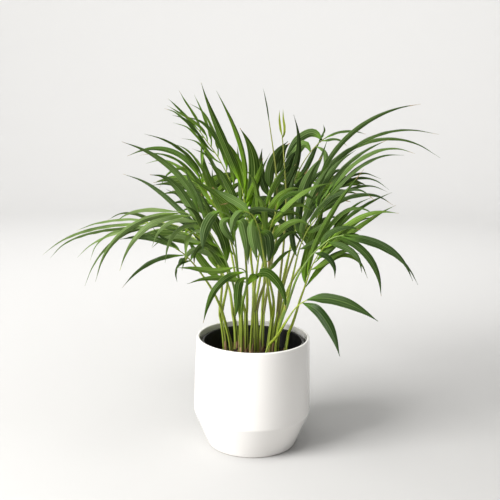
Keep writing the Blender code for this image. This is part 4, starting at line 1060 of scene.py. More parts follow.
@dataclass
class LeafletShape:
    """How a leaflet is shaped: sizes in metres, angles in degrees, the rest shares of its length or width."""

    half_columns: tuple[float, ...] = (0.0, 0.13, 0.44, 0.76, 1.0)
    station_step: float = 0.0042
    fewest_stations: int = 14
    most_stations: int = 40
    thickness: float = 0.00030
    rib_height: float = 0.00030
    rib_width: float = 0.10
    bulge: float = 0.07
    wider: float = 1.12
    sunk: float = 0.25
    fold: float = 26.0
    fold_at_base: float = 52.0
    fold_eases: float = 0.06
    base_width: float = 0.30
    full_from: float = 0.24
    taper_from: float = 0.46
    taper_power: float = 1.7
    fine_tip: float = 0.45
    point: float = 0.05
    wave_height: float = 0.00035
    wave_length: float = 0.026
    tip_droop: float = 0.014
    droop_from: float = 0.72
    relaxing: float = 0.85
    facing: Triple = (0.0, -0.45, 1.0)

    def columns(self) -> np.ndarray:
        """The stations across the blade from one edge to the other, as shares of the half width."""
        half = np.array(self.half_columns)
        return np.concatenate([-half[:0:-1], half])

    def fullness(self, shares: np.ndarray) -> np.ndarray:
        """The blade's width along its length.

        Args:
            shares: Shares of the length.

        Returns:
            The width there, as a share of the widest.
        """
        base = self.base_width + (1 - self.base_width) * ease(shares, 0.0, self.full_from)
        past = np.clip((shares - self.taper_from) / (1 - self.taper_from), 0, 1)
        fine = 0.5 + 0.5 * np.cos(math.pi * past)
        taper = fine * self.fine_tip + (1 - past**self.taper_power) * (1 - self.fine_tip)
        return base * np.maximum(taper, self.point)

    def build(
        self, basket: MeshBasket, run: LeafletRun, rng: random.Random, tone: float, dry: float, finish: int = 0
    ) -> None:
        """Add one leaflet.

        Args:
            basket: The frond's mesh.
            run: The leaflet's lines.
            rng: The frond's own seeded numbers.
            tone: How fresh its green is, 0 to 1.
            dry: How far its tip has dried, 0 to 1.
            finish: The number of its upper material. The under one follows it.
        """
        inward = run.points[0] - (run.points[1] - run.points[0]) * self.sunk
        route = SmoothRoute(relaxed(np.vstack([inward, run.points[1:]]), self.relaxing))
        stations = int(np.clip(route.length / self.station_step, self.fewest_stations, self.most_stations))
        shares = np.linspace(0, 1, stations)
        centres = route.at(shares)
        headings = route.heading(shares)
        across = route.carried(run.across, shares)
        across = unit_rows(across - headings * np.sum(across * headings, axis=1)[:, None])
        upward = np.cross(across, headings)
        if upward[stations // 3 : 2 * stations // 3].mean(axis=0) @ np.array(self.facing) < 0:
            across, upward = -across, -upward
        droop = ease(shares, self.droop_from, 1.0) * route.length * self.tip_droop
        sideways = rng.uniform(-0.3, 0.3)
        centres = centres + across * (droop * sideways)[:, None]
        centres[:, 2] -= droop * rng.uniform(0.2, 0.8)
        half_width = run.width * self.wider / 2 * self.fullness(shares)
        closing = self.fold_at_base * np.exp(-shares / self.fold_eases)
        fold = np.radians(self.fold * rng.uniform(0.6, 1.3) + closing)
        phase = rng.uniform(0, FULL_TURN)
        waves = np.sin(shares * route.length / self.wave_length * FULL_TURN + phase)
        blade = Blade(centres, across, upward, half_width, fold, waves)
        upper_columns = self.columns()
        under_columns = upper_columns[-2:0:-1]
        faces = [self._sheet(blade, upper_columns, 1.0), self._sheet(blade, under_columns, -1.0)]
        rings = np.concatenate(faces, axis=1)
        sides = np.concatenate([upper_columns, under_columns])
        values = {"along": shares[:, None], "across": sides[None, :], "tone": np.array(tone), "dry": np.array(dry)}
        finishes = [finish] * (len(upper_columns) - 1) + [finish + 1] * (len(under_columns) + 1)
        basket.tube(rings, values, finishes)

    def _sheet(self, blade: Blade, columns: np.ndarray, face: float) -> np.ndarray:
        """Lay out the points of one face of the blade.

        Args:
            blade: The blade's stations.
            columns: Stations across, as shares of the half width.
            face: 1 for the upper face, -1 for the under one.

        Returns:
            The points, as (station, column, 3).
        """
        reach = np.abs(columns)[None, :]
        width = blade.half_width[:, None]
        lean = blade.fold[:, None]
        fullness = (blade.half_width / blade.half_width.max())[:, None]
        sideways = columns[None, :] * width * np.cos(lean)
        height = -reach * width * np.sin(lean) + self.bulge * width * np.sin(math.pi * reach)
        ripple = blade.waves[:, None] * self.wave_height
        height = height + ripple * fullness * reach**2 * np.sign(columns)[None, :]
        rib = self.rib_height * fullness * np.exp(-((reach / self.rib_width) ** 2))
        skin = self.thickness / 2 * (1.15 - reach**3) * np.clip(fullness * 3, 0.25, 1)
        height = height + face * (skin + rib)
        lifted = blade.upward[:, None, :] * height[:, :, None]
        return blade.centres[:, None, :] + blade.across[:, None, :] * sideways[:, :, None] + lifted


@dataclass
class StalkShape:
    """A stalk and rachis: round, channelled on its upper side, and flared where it leaves the cane."""

    sides: int = 14
    station_step: float = 0.0045
    end_share: float = 0.70
    flare: float = 0.55
    flare_length: float = 0.036
    flare_from: float = 0.012
    channel_depth: float = 0.26
    channel_width: float = 0.62
    thins_over: Span = (0.40, 0.80)
    fewest_stations: int = 24
    face: Triple = (0.0, -0.8, 0.6)

    def build(self, basket: MeshBasket, run: FrondRun, finish: int) -> None:
        """Add a frond's stalk and rachis.

        Args:
            basket: The frond's mesh.
            run: The frond's lines.
            finish: The stalk material's number.
        """
        route = SmoothRoute(run.points)
        stations = max(self.fewest_stations, int(route.length / self.station_step))
        shares = np.linspace(0, 1, stations)
        centres = route.at(shares)
        headings = route.heading(shares)
        toward = np.array(self.face)
        up = unit_rows(toward - headings * (headings @ toward)[:, None])
        side = np.cross(headings, up)
        thinning = 1 - (1 - self.end_share) * ease(shares, *self.thins_over)
        radius = route.carried(run.radii, shares) * thinning
        gone = shares * route.length
        past = np.maximum(gone - self.flare_from, 0.0)
        radius = radius * (1 + self.flare * ease(gone, 0.002, self.flare_from) * np.exp(-past / self.flare_length))
        angles = np.arange(self.sides) * FULL_TURN / self.sides
        turned = (angles + math.pi) % FULL_TURN - math.pi
        groove = 1 - self.channel_depth * np.exp(-((turned / self.channel_width) ** 2))
        reach = radius[:, None] * groove[None, :]
        rings = (
            centres[:, None, :]
            + up[:, None, :] * (reach * np.cos(angles))[:, :, None]
            + side[:, None, :] * (reach * np.sin(angles))[:, :, None]
        )
        values = {"along": shares[:, None], "across": np.cos(angles)[None, :], "dry": np.sin(angles)[None, :]}
        basket.tube(rings, values, [finish])


@dataclass(frozen=True)
class LowLeaves:
    """The lowest leaflets of a frond, where they differ from the rest, mostly darker as a painted shade low in the
    crown.
    """

    mood: LeafMood
    tone: float
    count: int = 1


@dataclass
class Fronds:
    """Every frond, with the mood of its leaflets."""

    STALK_FINISH = 2
    LOW_FINISH = 3

    leaflet: LeafletShape = field(default_factory=LeafletShape)
    rolled: LeafletShape = field(
        default_factory=lambda: LeafletShape(
            wider=0.78, fold=60.0, fold_at_base=12.0, base_width=0.5, wave_height=0.0, tip_droop=0.0
        )
    )
    stalk: StalkShape = field(default_factory=StalkShape)
    seed: int = 41
    # The lowest leaflet keeps this share of its tone, rising to all of it up the frond: a painted shade low in the
    # crown.
    lowest_shaded_tone: float = 0.25
    tone_rise: float = 1.8
    dryness: tuple[float, ...] = (0.0, 0.0, 0.12, 0.3)
    moods: dict[str, LeafMood] = field(
        default_factory=lambda: {
            "frond_left_low": LeafMood.PAINTED_SHEEN,
            "frond_left_long": LeafMood.PALE,
            "frond_left_arch": LeafMood.PALE,
            "frond_left_mid": LeafMood.PAINTED_SHEEN,
            "frond_left_high": LeafMood.FRESH,
            "frond_upper_left": LeafMood.FRESH,
            "frond_front_low": LeafMood.FRESH,
            "frond_front_arch": LeafMood.PAINTED_SHEEN,
            "frond_centre_hanging": LeafMood.PAINTED_SHEEN,
            "frond_centre_up": LeafMood.TALL,
            "frond_centre_fill": LeafMood.DEEP,
            "frond_back_centre": LeafMood.SHADED,
            "frond_back_right": LeafMood.PAINTED_SHEEN,
            "frond_right_upper": LeafMood.PAINTED_SHEEN,
            "frond_right_mid": LeafMood.PAINTED_SHEEN,
            "frond_right_pale": LeafMood.FRESH,
            "frond_right_arch": LeafMood.PAINTED_SHEEN,
            "frond_right_lower": LeafMood.FRESH,
            "frond_right_droop": LeafMood.DUSKY,
            "leaf_low_bifid": LeafMood.GLOSSY,
            "spear_leaf": LeafMood.YOUNG,
            "needle_leaf": LeafMood.SHADED,
            "frond_back_left_high": LeafMood.DEEP,
            "frond_back_left_low": LeafMood.DEEP,
            "frond_back_middle_high": LeafMood.SHADED,
            "frond_back_middle_low": LeafMood.DEEP,
            "frond_back_right_high": LeafMood.DEEP,
            "frond_back_right_low": LeafMood.DEEP,
        }
    )
    rinds: dict[str, Rind] = field(
        default_factory=lambda: {
            "frond_back_right": Rind.BROWN,
            "needle_leaf": Rind.BROWN,
            "spear_leaf": Rind.BROWN,
            "frond_right_mid": Rind.BROWN,
            "frond_right_droop": Rind.GREEN,
            "frond_front_low": Rind.GREEN,
            "frond_front_arch": Rind.GREEN,
            "frond_left_arch": Rind.GREEN,
        }
    )
    # Mostly darker lowest leaflets, a painted shade low in the crown; frond_left_long's are a brighter green instead.
    low_leaves: dict[str, LowLeaves] = field(
        default_factory=lambda: {
            "frond_left_arch": LowLeaves(LeafMood.DEEP, 0.12, 3),
            "frond_left_mid": LowLeaves(LeafMood.DEEP, 0.05, 2),
            "frond_left_long": LowLeaves(LeafMood.FRESH, 0.9, 2),
            "frond_right_lower": LowLeaves(LeafMood.DEEP, 0.65, 2),
        }
    )
    unopened: dict[str, float] = field(default_factory=lambda: {"needle_leaf": 0.5, "spear_leaf": 1.0})

    def build(self) -> None:
        """Make one piece for each frond."""
        upper = {mood: mood.value.material(Side.UPPER) for mood in LeafMood}
        under = {mood: mood.value.material(Side.UNDER) for mood in LeafMood}
        rinds = {rind: rind.value.material() for rind in Rind}
        for order, (node, mood) in enumerate(self.moods.items()):
            rng = random.Random(self.seed + order)
            run = FrameReader(node).frond()
            basket = MeshBasket()
            low = self.low_leaves.get(node, LowLeaves(mood, 0.0, 0))
            self._leaves(basket, rng, node, run, low)
            self.stalk.build(basket, run, self.STALK_FINISH)
            leaves = (upper[mood], under[mood], rinds[self.rinds.get(node, Rind.BRIGHT)])
            extra = (upper[low.mood], under[low.mood]) if low.count else ()
            place_piece(basket.object(f"{node}_leaf", leaves + extra), "leaf_green", node)

    def _leaves(self, basket: MeshBasket, rng: random.Random, node: str, run: FrondRun, low: LowLeaves) -> None:
        """Add a frond's leaflets, from the lowest up.

        Args:
            basket: The frond's mesh.
            rng: The frond's own seeded numbers.
            node: Its name in the frame.
            run: Its lines.
            low: Its lowest leaflets' look.
        """
        shape = self.rolled if node in self.unopened else self.leaflet
        for rank, leaflet in enumerate(sorted(run.leaflets, key=lambda one: float(one.points[0][2]))):
            tone = self._tone(rng, leaflet, run)
            dry = rng.choice(self.dryness) * rng.uniform(0.5, 1.0)
            leaflet.width *= self.unopened.get(node, 1.0)
            if rank < low.count:
                shape.build(basket, leaflet, rng, low.tone, dry, self.LOW_FINISH)
            else:
                shape.build(basket, leaflet, rng, tone, dry)

    def _tone(self, rng: random.Random, leaflet: LeafletRun, run: FrondRun) -> float:
        """How fresh a leaflet's green is: mostly dark or light, and darker low on its frond, a painted shade low in
        the crown.

        Args:
            rng: The frond's own seeded numbers.
            leaflet: The leaflet.
            run: The frond that it grows on.

        Returns:
            The tone, 0 to 1.
        """
        drawn = rng.uniform(-1, 1)
        tone = 0.5 + 0.5 * math.copysign(abs(drawn) ** 0.5, drawn)
        heights = [float(other.points[0][2]) for other in run.leaflets]
        lowest, highest = min(heights), max(heights)
        rise = (float(leaflet.points[0][2]) - lowest) / (highest - lowest + 1e-9)
        return tone * (self.lowest_shaded_tone + (1 - self.lowest_shaded_tone) * min(1.0, rise * self.tone_rise))


# The canes and dry sheaths


@dataclass(frozen=True)
class SheathCut:
    """One sheath of a cane: its size, where it ends and how it is lobed."""

    radius: float
    reach: float = 1.0
    narrowing: float = 0.70
    depth: float = 0.006
    turn: float = 0.0
    lobes: int = 3
    lobe_depth: float = 0.34
    twist: float = 0.5
    lip: float = 0.006
    points: float = 1.0


@dataclass
class CaneShape:
    """A cane's sheath: a tube lobed where it clasps its stalks, with a slanted, pointed mouth."""

    sides: int = 36
    station_step: float = 0.0022
    wall: float = 0.0006
    flutes: int = 17
    flute_depth: float = 0.02
    foot_swell: float = 0.16
    swell_length: float = 0.012
    fewest_stations: int = 14

    def tube(self, basket: MeshBasket, route: SmoothRoute, cut: SheathCut, finish: int) -> None:
        """Add one open-mouthed sheath.

        Args:
            basket: The cane's mesh.
            route: The cane's middle line.
            cut: The sheath's size and cut.
            finish: The material's number.
        """
        length = route.length * cut.reach
        stations = max(self.fewest_stations, int(length / self.station_step))
        shares = np.linspace(0, 1, stations)
        angles = np.arange(self.sides) * FULL_TURN / self.sides
        body = cut.radius * (1 - (1 - cut.narrowing) * ease(shares, 0.2, 1.0))
        body = body * (1 + self.foot_swell * np.exp(-shares * length / self.swell_length))
        lobe = np.cos(cut.lobes * (angles[None, :] - cut.turn) + cut.twist * shares[:, None] * FULL_TURN)
        flute = np.sin(angles * self.flutes + cut.turn)[None, :]
        shape = 1 - cut.lobe_depth * (0.5 - 0.5 * lobe) ** 1.5 + self.flute_depth * flute
        lift = self._lift(cut, angles)[None, :] * ease(shares, 0.7, 1.0)[:, None]
        up, side = axes_across(route, shares * cut.reach)
        outside = rings_round(route, shares * cut.reach, (up, side), angles, body[:, None] * shape, lift)
        down = np.array([1.0, 1 - 0.5 * cut.depth / length, 1 - cut.depth / length])
        inner = np.interp(down, shares, body)[:, None] * shape[-1][None, :] - self.wall
        inner_lift = self._lift(cut, angles)[None, :] * np.array([0.93, 0.4, 0.0])[:, None]
        inner_axes = axes_across(route, down * cut.reach)
        inside = rings_round(route, down * cut.reach, inner_axes, angles, inner, inner_lift)
        # tone is highest on the lobes' crests and low in the grooves and inside the mouth, where the finish paints
        # shade.
        crest = 0.5 + 0.5 * lobe
        values = {
            "along": np.concatenate([shares, down])[:, None] * cut.reach,
            "across": np.cos(angles)[None, :],
            "dry": np.sin(angles)[None, :],
            "tone": np.concatenate([crest, np.repeat(crest[-1:], 3, axis=0) * 0.3]),
        }
        basket.tube(np.concatenate([outside, inside]), values, [finish])

    @staticmethod
    def _lift(cut: SheathCut, angles: np.ndarray) -> np.ndarray:
        """How far each point of the mouth rises above its lowest part."""
        wave = 0.5 + 0.5 * np.cos((angles - cut.turn) * max(1.0, round(cut.points)))
        return wave**2.5 * cut.lip


def axes_across(route: SmoothRoute, shares: np.ndarray) -> tuple[np.ndarray, np.ndarray]:
    """Find two directions across a route.

    Args:
        route: The route.
        shares: Shares of its length.

    Returns:
        The first direction and the second at each share.
    """
    headings = route.heading(shares)
    toward = np.array([1.0, 0.0, 0.0])
    first = unit_rows(toward - headings * (headings @ toward)[:, None])
    return first, np.cross(headings, first)


def rings_round(
    route: SmoothRoute,
    shares: np.ndarray,
    axes: tuple[np.ndarray, np.ndarray],
    angles: np.ndarray,
    reach: np.ndarray,
    lift: np.ndarray | float = 0.0,
) -> np.ndarray:
    """Rings of points round a route.

    Args:
        route: The middle line.
        shares: Where the rings are.
        axes: The directions of angle 0 and of a quarter turn at each ring.
        angles: The points' angles.
        reach: Their distances from the middle line.
        lift: How far each is moved on along the route.

    Returns:
        The rings, as (ring, point, 3).
    """
    first, second = axes
    lifted = route.heading(shares)[:, None, :] * np.broadcast_to(lift, reach.shape)[:, :, None]
    return (
        route.at(shares)[:, None, :]
        + first[:, None, :] * (reach * np.cos(angles))[:, :, None]
        + second[:, None, :] * (reach * np.sin(angles))[:, :, None]
        + lifted
    )


@dataclass
class Canes:
    """Every cane: a green sheath lobed round its stalks, and torn old sheaths round its foot."""

    shape: CaneShape = field(default_factory=CaneShape)
    seed: int = 7
    thick: float = 0.004
    torn_wider: float = 1.04
    torn_reach: Span = (0.22, 0.42)
    torn_lip: Span = (0.010, 0.022)
    layer_reach: float = 0.10
    layer_gap: float = 0.0003
    green: SheathFinish = SheathFinish(
        "green_sheath",
        root=(0.24, 0.20, 0.07),
        middle=(0.22, 0.29, 0.030),
        mouth=(0.30, 0.40, 0.040),
        fibre=(0.46, 0.52, 0.12),
    )
    old: SheathFinish = SheathFinish(
        "old_sheath",
        root=(0.24, 0.13, 0.07),
        middle=(0.46, 0.28, 0.16),
        mouth=(0.60, 0.42, 0.27),
        fibre=(0.66, 0.50, 0.34),
        roughness=0.75,
    )

    def build(self) -> None:
        """Make one piece for each cane."""
        green, old = self.green.material(), self.old.material()
        names = sorted(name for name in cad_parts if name.startswith("cane_"))
        for order, node in enumerate(names):
            rng = random.Random(self.seed + order)
            centres, radii = FrameReader(node).column(FrameReader.CANE_SIDES)
            route = SmoothRoute(centres[:4])
            radius = float(radii[0])
            basket = MeshBasket()
            turn = rng.uniform(0, FULL_TURN)
            lobes = rng.choice((3, 4)) if radius > self.thick else 2
            main = SheathCut(radius, turn=turn, lobes=lobes, twist=rng.uniform(-0.3, 0.3), points=lobes)
            self.shape.tube(basket, route, main, 0)
            for layer in range(rng.choice((1, 1, 2))):
                torn = SheathCut(
                    radius * self.torn_wider + self.layer_gap * layer,
                    reach=rng.uniform(*self.torn_reach) - self.layer_reach * layer,
                    narrowing=0.92,
                    depth=0.003,
                    turn=turn + rng.uniform(1.0, 5.0),
                    lobes=lobes,
                    lobe_depth=0.16,
                    twist=main.twist * 0.5,
                    lip=rng.uniform(*self.torn_lip),
                    points=rng.choice((1.0, 2.0)),
                )
                self.shape.tube(basket, route, torn, 1)
            place_piece(basket.object(f"{node}_sheath", (green, old)), "green_stem", node)


@dataclass
class DrySheaths:
    """Dead sheath ends: curled papery blades, open down one side and narrowing to a point."""

    names: tuple[str, ...] = ("dry_sheath_left", "dry_sheath_middle", "dry_sheath_right")
    seed: int = 90
    sides: int = 20
    stations: int = 22
    thickness: float = 0.0005
    wider: float = 1.05
    half_angle: float = 150.0
    grain_turn: float = 2.4
    papery: SheathFinish = SheathFinish(
        "papery_sheath",
        root=(0.22, 0.13, 0.085),
        middle=(0.42, 0.28, 0.19),
        mouth=(0.60, 0.46, 0.36),
        fibre=(0.66, 0.52, 0.40),
        roughness=0.8,
    )

    def build(self) -> None:
        """Make one piece for each dead sheath."""
        material = self.papery.material()
        for order, node in enumerate(self.names):
            rng = random.Random(self.seed + order)
            reader = FrameReader(node)
            centres, radii = reader.column(FrameReader.CANE_SIDES)
            route = SmoothRoute(np.vstack([centres, reader.points[reader.points[:, 2].argmax()]]))
            basket = MeshBasket()
            shares = np.linspace(0, 1, self.stations)
            body = radii[0] * self.wider * np.clip(1.1 - ease(shares, 0.25, 1.02) * 1.08, 0.03, 1)
            open_turn = rng.uniform(0, FULL_TURN)
            swept = np.linspace(-1, 1, self.sides // 2)
            span = math.radians(self.half_angle) * (1 - 0.35 * ease(shares, 0.3, 1.0))
            outer = self._arc(route, shares, open_turn, swept, span, body)
            inner = self._arc(route, shares, open_turn, swept[::-1], span, body - self.thickness)
            rings = np.concatenate([outer, inner], axis=1)
            grain = np.concatenate([swept, swept[::-1]]) * self.grain_turn
            values = {"along": shares[:, None], "across": np.cos(grain)[None, :], "dry": np.sin(grain)[None, :]}
            basket.tube(rings, values)
            place_piece(basket.object(f"{node}_paper", (material,)), "dry_sheath", node)

    @staticmethod
    def _arc(
        route: SmoothRoute,
        shares: np.ndarray,
        turn: float,
        swept: np.ndarray,
        span: np.ndarray,
        reach: np.ndarray,
    ) -> np.ndarray:
        """Rings of an open arc round the route.

        Args:
            route: The sheath's middle line.
            shares: Where the rings are.
            turn: The direction that the sheath faces, in radians.
            swept: Stations round the arc, -1 to 1.
            span: Half the arc's angle at each ring.
            reach: Its radius at each ring.

        Returns:
            The rings, as (ring, point, 3).
        """
        angles = turn + span[:, None] * swept[None, :]
        centres = route.at(shares)
        sideways = np.stack([np.cos(angles), np.sin(angles), np.zeros_like(angles)], axis=2)
        return centres[:, None, :] + sideways * np.maximum(reach, 0.0002)[:, None, None]


# The soil


@dataclass(frozen=True)
class Scattering:
    """One kind of bit that lies on the soil: how many, their half lengths, their proportions and finish."""

    name: str
    count: int
    sizes: Span
    flatness: Triple
    finish: GritFinish


@dataclass
class SoilBed:
    """The potting mix: a rough mound with crumbs, bark, perlite and root fibres on it."""

    rings: int = 64
    spokes: int = 168
    roughness: float = 0.0011
    lump_scale: float = 190.0
    pit_scale: float = 70.0
    wall_steps: int = 5
    wall_top: float = 0.1225
    surface_from: float = 0.93
    mound_tone: float = 0.35
    clear_edge: float = 0.003
    lumpiness: float = 0.42
    sunk: float = 0.35
    fibres: int = 34
    fibre_sides: int = 6
    fibre_stations: int = 16
    fibre_lengths: Span = (0.008, 0.022)
    fibre_radii: Span = (0.00015, 0.00032)
    fibre_bend: float = 1.2
    fibre_lift: float = 0.0008
    fibre_arch: float = 0.0012
    fibre_clear: float = 0.002
    fibre_pull: float = 0.93
    seed: int = 3
    mix: GritFinish = GritFinish("potting_mix", dark=(0.012, 0.008, 0.006), light=(0.070, 0.046, 0.032))
    bits: tuple[Scattering, ...] = (
        Scattering(
            "potting_crumbs",
            count=760,
            sizes=(0.0006, 0.0022),
            flatness=(1.0, 0.85, 0.7),
            finish=GritFinish("potting_crumbs", dark=(0.012, 0.008, 0.006), light=(0.105, 0.068, 0.045)),
        ),
        Scattering(
            "bark_chips",
            count=85,
            sizes=(0.0018, 0.0044),
            flatness=(1.0, 0.5, 0.22),
            finish=GritFinish("bark_chips", dark=(0.07, 0.035, 0.022), light=(0.30, 0.18, 0.12), roughness=0.8),
        ),
        Scattering(
            "perlite_grains",
            count=46,
            sizes=(0.0007, 0.0015),
            flatness=(1.0, 0.9, 0.8),
            finish=GritFinish("perlite_grains", dark=(0.42, 0.40, 0.36), light=(0.72, 0.70, 0.66), roughness=0.85),
        ),
    )
    fibre_mix: GritFinish = GritFinish(
        "root_fibres", dark=(0.16, 0.10, 0.06), light=(0.38, 0.28, 0.18), roughness=0.8
    )

    def __post_init__(self) -> None:
        """Take the surface's height from the frame."""
        solid = FrameReader("potting_soil").points
        heights = solid[:, 2]
        self.low = float(heights.min())
        self.surface = solid[heights > self.low + (heights.max() - self.low) * self.surface_from]
        self.edge = widest(self.surface)
        self.foot = widest_below(solid)

    def height(self, x: float, y: float, neighbours: int = 6) -> float:
        """Height of the mound, from the frame's nearest surface points.

        Args:
            x: Where it is read.
            y: Where it is read.
            neighbours: How many surface points it is read from.

        Returns:
            The height.
        """
        away = np.hypot(self.surface[:, 0] - x, self.surface[:, 1] - y)
        near = np.argsort(away)[:neighbours]
        weights = 1 / (away[near] ** 2 + 1e-6)
        return float((self.surface[near, 2] * weights).sum() / weights.sum())

    def rough_height(self, x: float, y: float) -> float:
        """Height of the mound with its crumbly texture.

        Args:
            x: Where it is read.
            y: Where it is read.

        Returns:
            The height.
        """
        lumps = noise.fractal(Vector((x, y, 0.3)) * self.lump_scale, 0.8, 2.1, 4) * self.roughness
        pits = noise.noise(Vector((x, y, 1.7)) * self.pit_scale) * self.roughness * 0.9
        return self.height(x, y) + lumps + pits

    def build(self) -> None:
        """Make the mound and what lies on it."""
        self._mound()
        rng = random.Random(self.seed)
        for kind in self.bits:
            self._scatter(rng, kind)
        self._fibres(rng)

    def _mound(self) -> None:
        """Make the mound, from its foot up the pot's wall and in over the top."""
        angles = np.arange(self.spokes) * FULL_TURN / self.spokes
        rings = []
        for share in np.linspace(0, 1, self.wall_steps + 1)[:-1]:
            radius = self.foot + (self.edge - self.foot) * share
            height = np.full(self.spokes, self.low + (self.wall_top - self.low) * share)
            rings.append(np.stack([radius * np.cos(angles), radius * np.sin(angles), height], axis=1))
        for ring in range(self.rings):
            radius = self.edge * (1 - ring / self.rings)
            spots = [(radius * math.cos(angle), radius * math.sin(angle)) for angle in angles]
            rings.append(np.array([(x, y, self.rough_height(x, y)) for x, y in spots]))
        basket = MeshBasket()
        basket.tube(np.array(rings), {"tone": np.array(self.mound_tone)})
        place_piece(basket.object("potting_mix_mound", (self.mix.material(),)), "potting_soil", "potting_soil")

    def _spot(self, rng: random.Random) -> Pair:
        """Draw a place on the mound.

        Args:
            rng: Seeded numbers.

        Returns:
            Its x and y.
        """
        radius = (self.edge - self.clear_edge) * math.sqrt(rng.random())
        angle = rng.uniform(0, FULL_TURN)
        return radius * math.cos(angle), radius * math.sin(angle)

    def _scatter(self, rng: random.Random, kind: Scattering) -> None:
        """Strew one kind of bit over the mound.

        Args:
            rng: Seeded numbers.
            kind: What is strewn.
        """
        maker = bmesh.new()
        bmesh.ops.create_icosphere(maker, subdivisions=2, radius=1.0)
        ball = np.array([corner.co[:] for corner in maker.verts])
        faces = np.array([[corner.index for corner in face.verts] for face in maker.faces])
        maker.free()
        basket = MeshBasket()
        least, greatest = kind.sizes
        for _ in range(kind.count):
            x, y = self._spot(rng)
            size = least + (greatest - least) * rng.random() ** 2
            shift = Vector((rng.uniform(-9, 9), rng.uniform(-9, 9), rng.uniform(-9, 9)))
            bumps = np.array([1 + self.lumpiness * noise.noise(Vector(point) * 1.3 + shift) for point in ball])
            shaped = ball * bumps[:, None] * np.array(kind.flatness) * size
            tilt = Matrix.Rotation(rng.uniform(-0.5, 0.5), 3, "X") @ Matrix.Rotation(rng.uniform(0, FULL_TURN), 3, "Z")
            turned = shaped @ np.array(tilt)
            spot = np.array([x, y, self.rough_height(x, y) + size * kind.flatness[2] * self.sunk])
            basket.solid(turned + spot, faces, rng.random())
        place_piece(basket.object(kind.name, (kind.finish.material(),), sharp=70.0), "potting_soil")

    def _fibres(self, rng: random.Random) -> None:
        """Lay short root fibres on the mound.

        Args:
            rng: Seeded numbers.
        """
        basket = MeshBasket()
        angles = np.arange(self.fibre_sides) * FULL_TURN / self.fibre_sides
        shares = np.linspace(0, 1, self.fibre_stations)
        for _ in range(self.fibres):
            route = SmoothRoute(self._fibre_line(rng))
            axes = axes_across(route, shares)
            radius = rng.uniform(*self.fibre_radii) * (1 - 0.6 * np.abs(shares - 0.5) * 2)
            reach = radius[:, None] * np.ones((1, len(angles)))
            rings = rings_round(route, shares, axes, angles, reach)
            basket.tube(rings, {"tone": np.array(rng.random())})
        place_piece(basket.object("root_fibres", (self.fibre_mix.material(),)), "potting_soil")

    def _fibre_line(self, rng: random.Random) -> np.ndarray:
        """Draw the middle line of one root fibre, bent and lying on the mound.

        Args:
            rng: Seeded numbers.

        Returns:
            Its points, one row each.
        """
        x, y = self._spot(rng)
        heading = rng.uniform(0, FULL_TURN)
        length = rng.uniform(*self.fibre_lengths)
        bend = rng.uniform(-self.fibre_bend, self.fibre_bend)
        points = []
        for share in np.linspace(-0.5, 0.5, 6):
            way = heading + bend * share
            px, py = x + math.cos(way) * length * share, y + math.sin(way) * length * share
            if math.hypot(px, py) > self.edge - self.fibre_clear:
                px, py = px * self.fibre_pull, py * self.fibre_pull
            lift = self.fibre_lift + self.fibre_arch * (0.5 - abs(share))
            points.append((px, py, self.rough_height(px, py) + lift))
        return np.array(points)


# The pots


def rounded(points: Sequence[Pair], radius: float, steps: int, most: float = 0.45) -> list[Pair]:
    """Round every corner of a profile but its two ends.

    Args:
        points: Points of (radius, height).
        radius: How far from each corner the rounding starts.
        steps: Points on each rounding, less one.
        most: The largest share of a side that one rounding takes.

    Returns:
        The rounded profile.
    """
    made = [points[0]]
    for before, corner, after in zip(points, points[1:], points[2:]):
        here = np.array(corner)
        back, ahead = np.array(before) - here, np.array(after) - here
        start = here + back * min(radius / np.linalg.norm(back), most)
        end = here + ahead * min(radius / np.linalg.norm(ahead), most)
        for step in range(steps + 1):
            t = step / steps
            point = start * (1 - t) ** 2 + here * 2 * t * (1 - t) + end * t**2
            made.append((float(point[0]), float(point[1])))
    return made + [points[-1]]


@dataclass
class CoverPot:
    """The white glazed pot, spun with a soft shoulder and a thin rim as high and wide as the frame's."""

    segments: int = 224
    wall: float = 0.0042
    floor: float = 0.006
    floor_spread: float = 0.002
    shoulder_height: float = 0.051
    shoulder_radius: float = 0.0885
    upper_steps: int = 8
    upper_curve: float = 1.6
    foot_radius: float = 0.0685
    foot_inset: float = 0.0006
    foot_ring: float = 0.010
    foot_bevel: float = 0.002
    hollow: float = 0.0012
    softness: float = 0.0021
    rim_band: float = 0.003
    glaze: GlazeFinish = GlazeFinish()

    def build(self) -> None:
        """Make the cover pot."""
        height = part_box("cover_pot")[1].z
        rim = self._rim_radius()
        rise, spread = height - self.shoulder_height, rim - self.shoulder_radius
        above = [
            (self.shoulder_radius + spread * share**self.upper_curve, self.shoulder_height + rise * share)
            for share in np.linspace(0, 1, self.upper_steps + 1)[1:-1]
        ]
        ring = self.foot_radius - self.foot_ring
        underside = [(0.0, self.hollow), (ring - self.foot_bevel, self.hollow), (ring, 0.0)]
        outside = [(self.foot_radius - self.foot_inset, 0.0), (self.shoulder_radius, self.shoulder_height), *above]
        inside = [(radius - self.wall, z) for radius, z in reversed(outside[1:])]
        bottom = [(self.foot_radius - self.wall + self.floor_spread, self.floor), (0.0, self.floor)]
        profile = [*underside, *outside, (rim, height), (rim - self.wall, height), *inside, *bottom]
        basket = MeshBasket()
        basket.spin(rounded(profile, self.softness, steps=6), self.segments)
        piece = basket.object("cover_pot_glazed", (self.glaze.material(),), sharp=60.0)
        place_piece(piece, "white_glaze", "cover_pot")

    def _rim_radius(self) -> float:
        """The rim's outer radius, from the frame's highest points."""
        solid = FrameReader("cover_pot").points
        return widest(solid[solid[:, 2] > solid[:, 2].max() - self.rim_band])


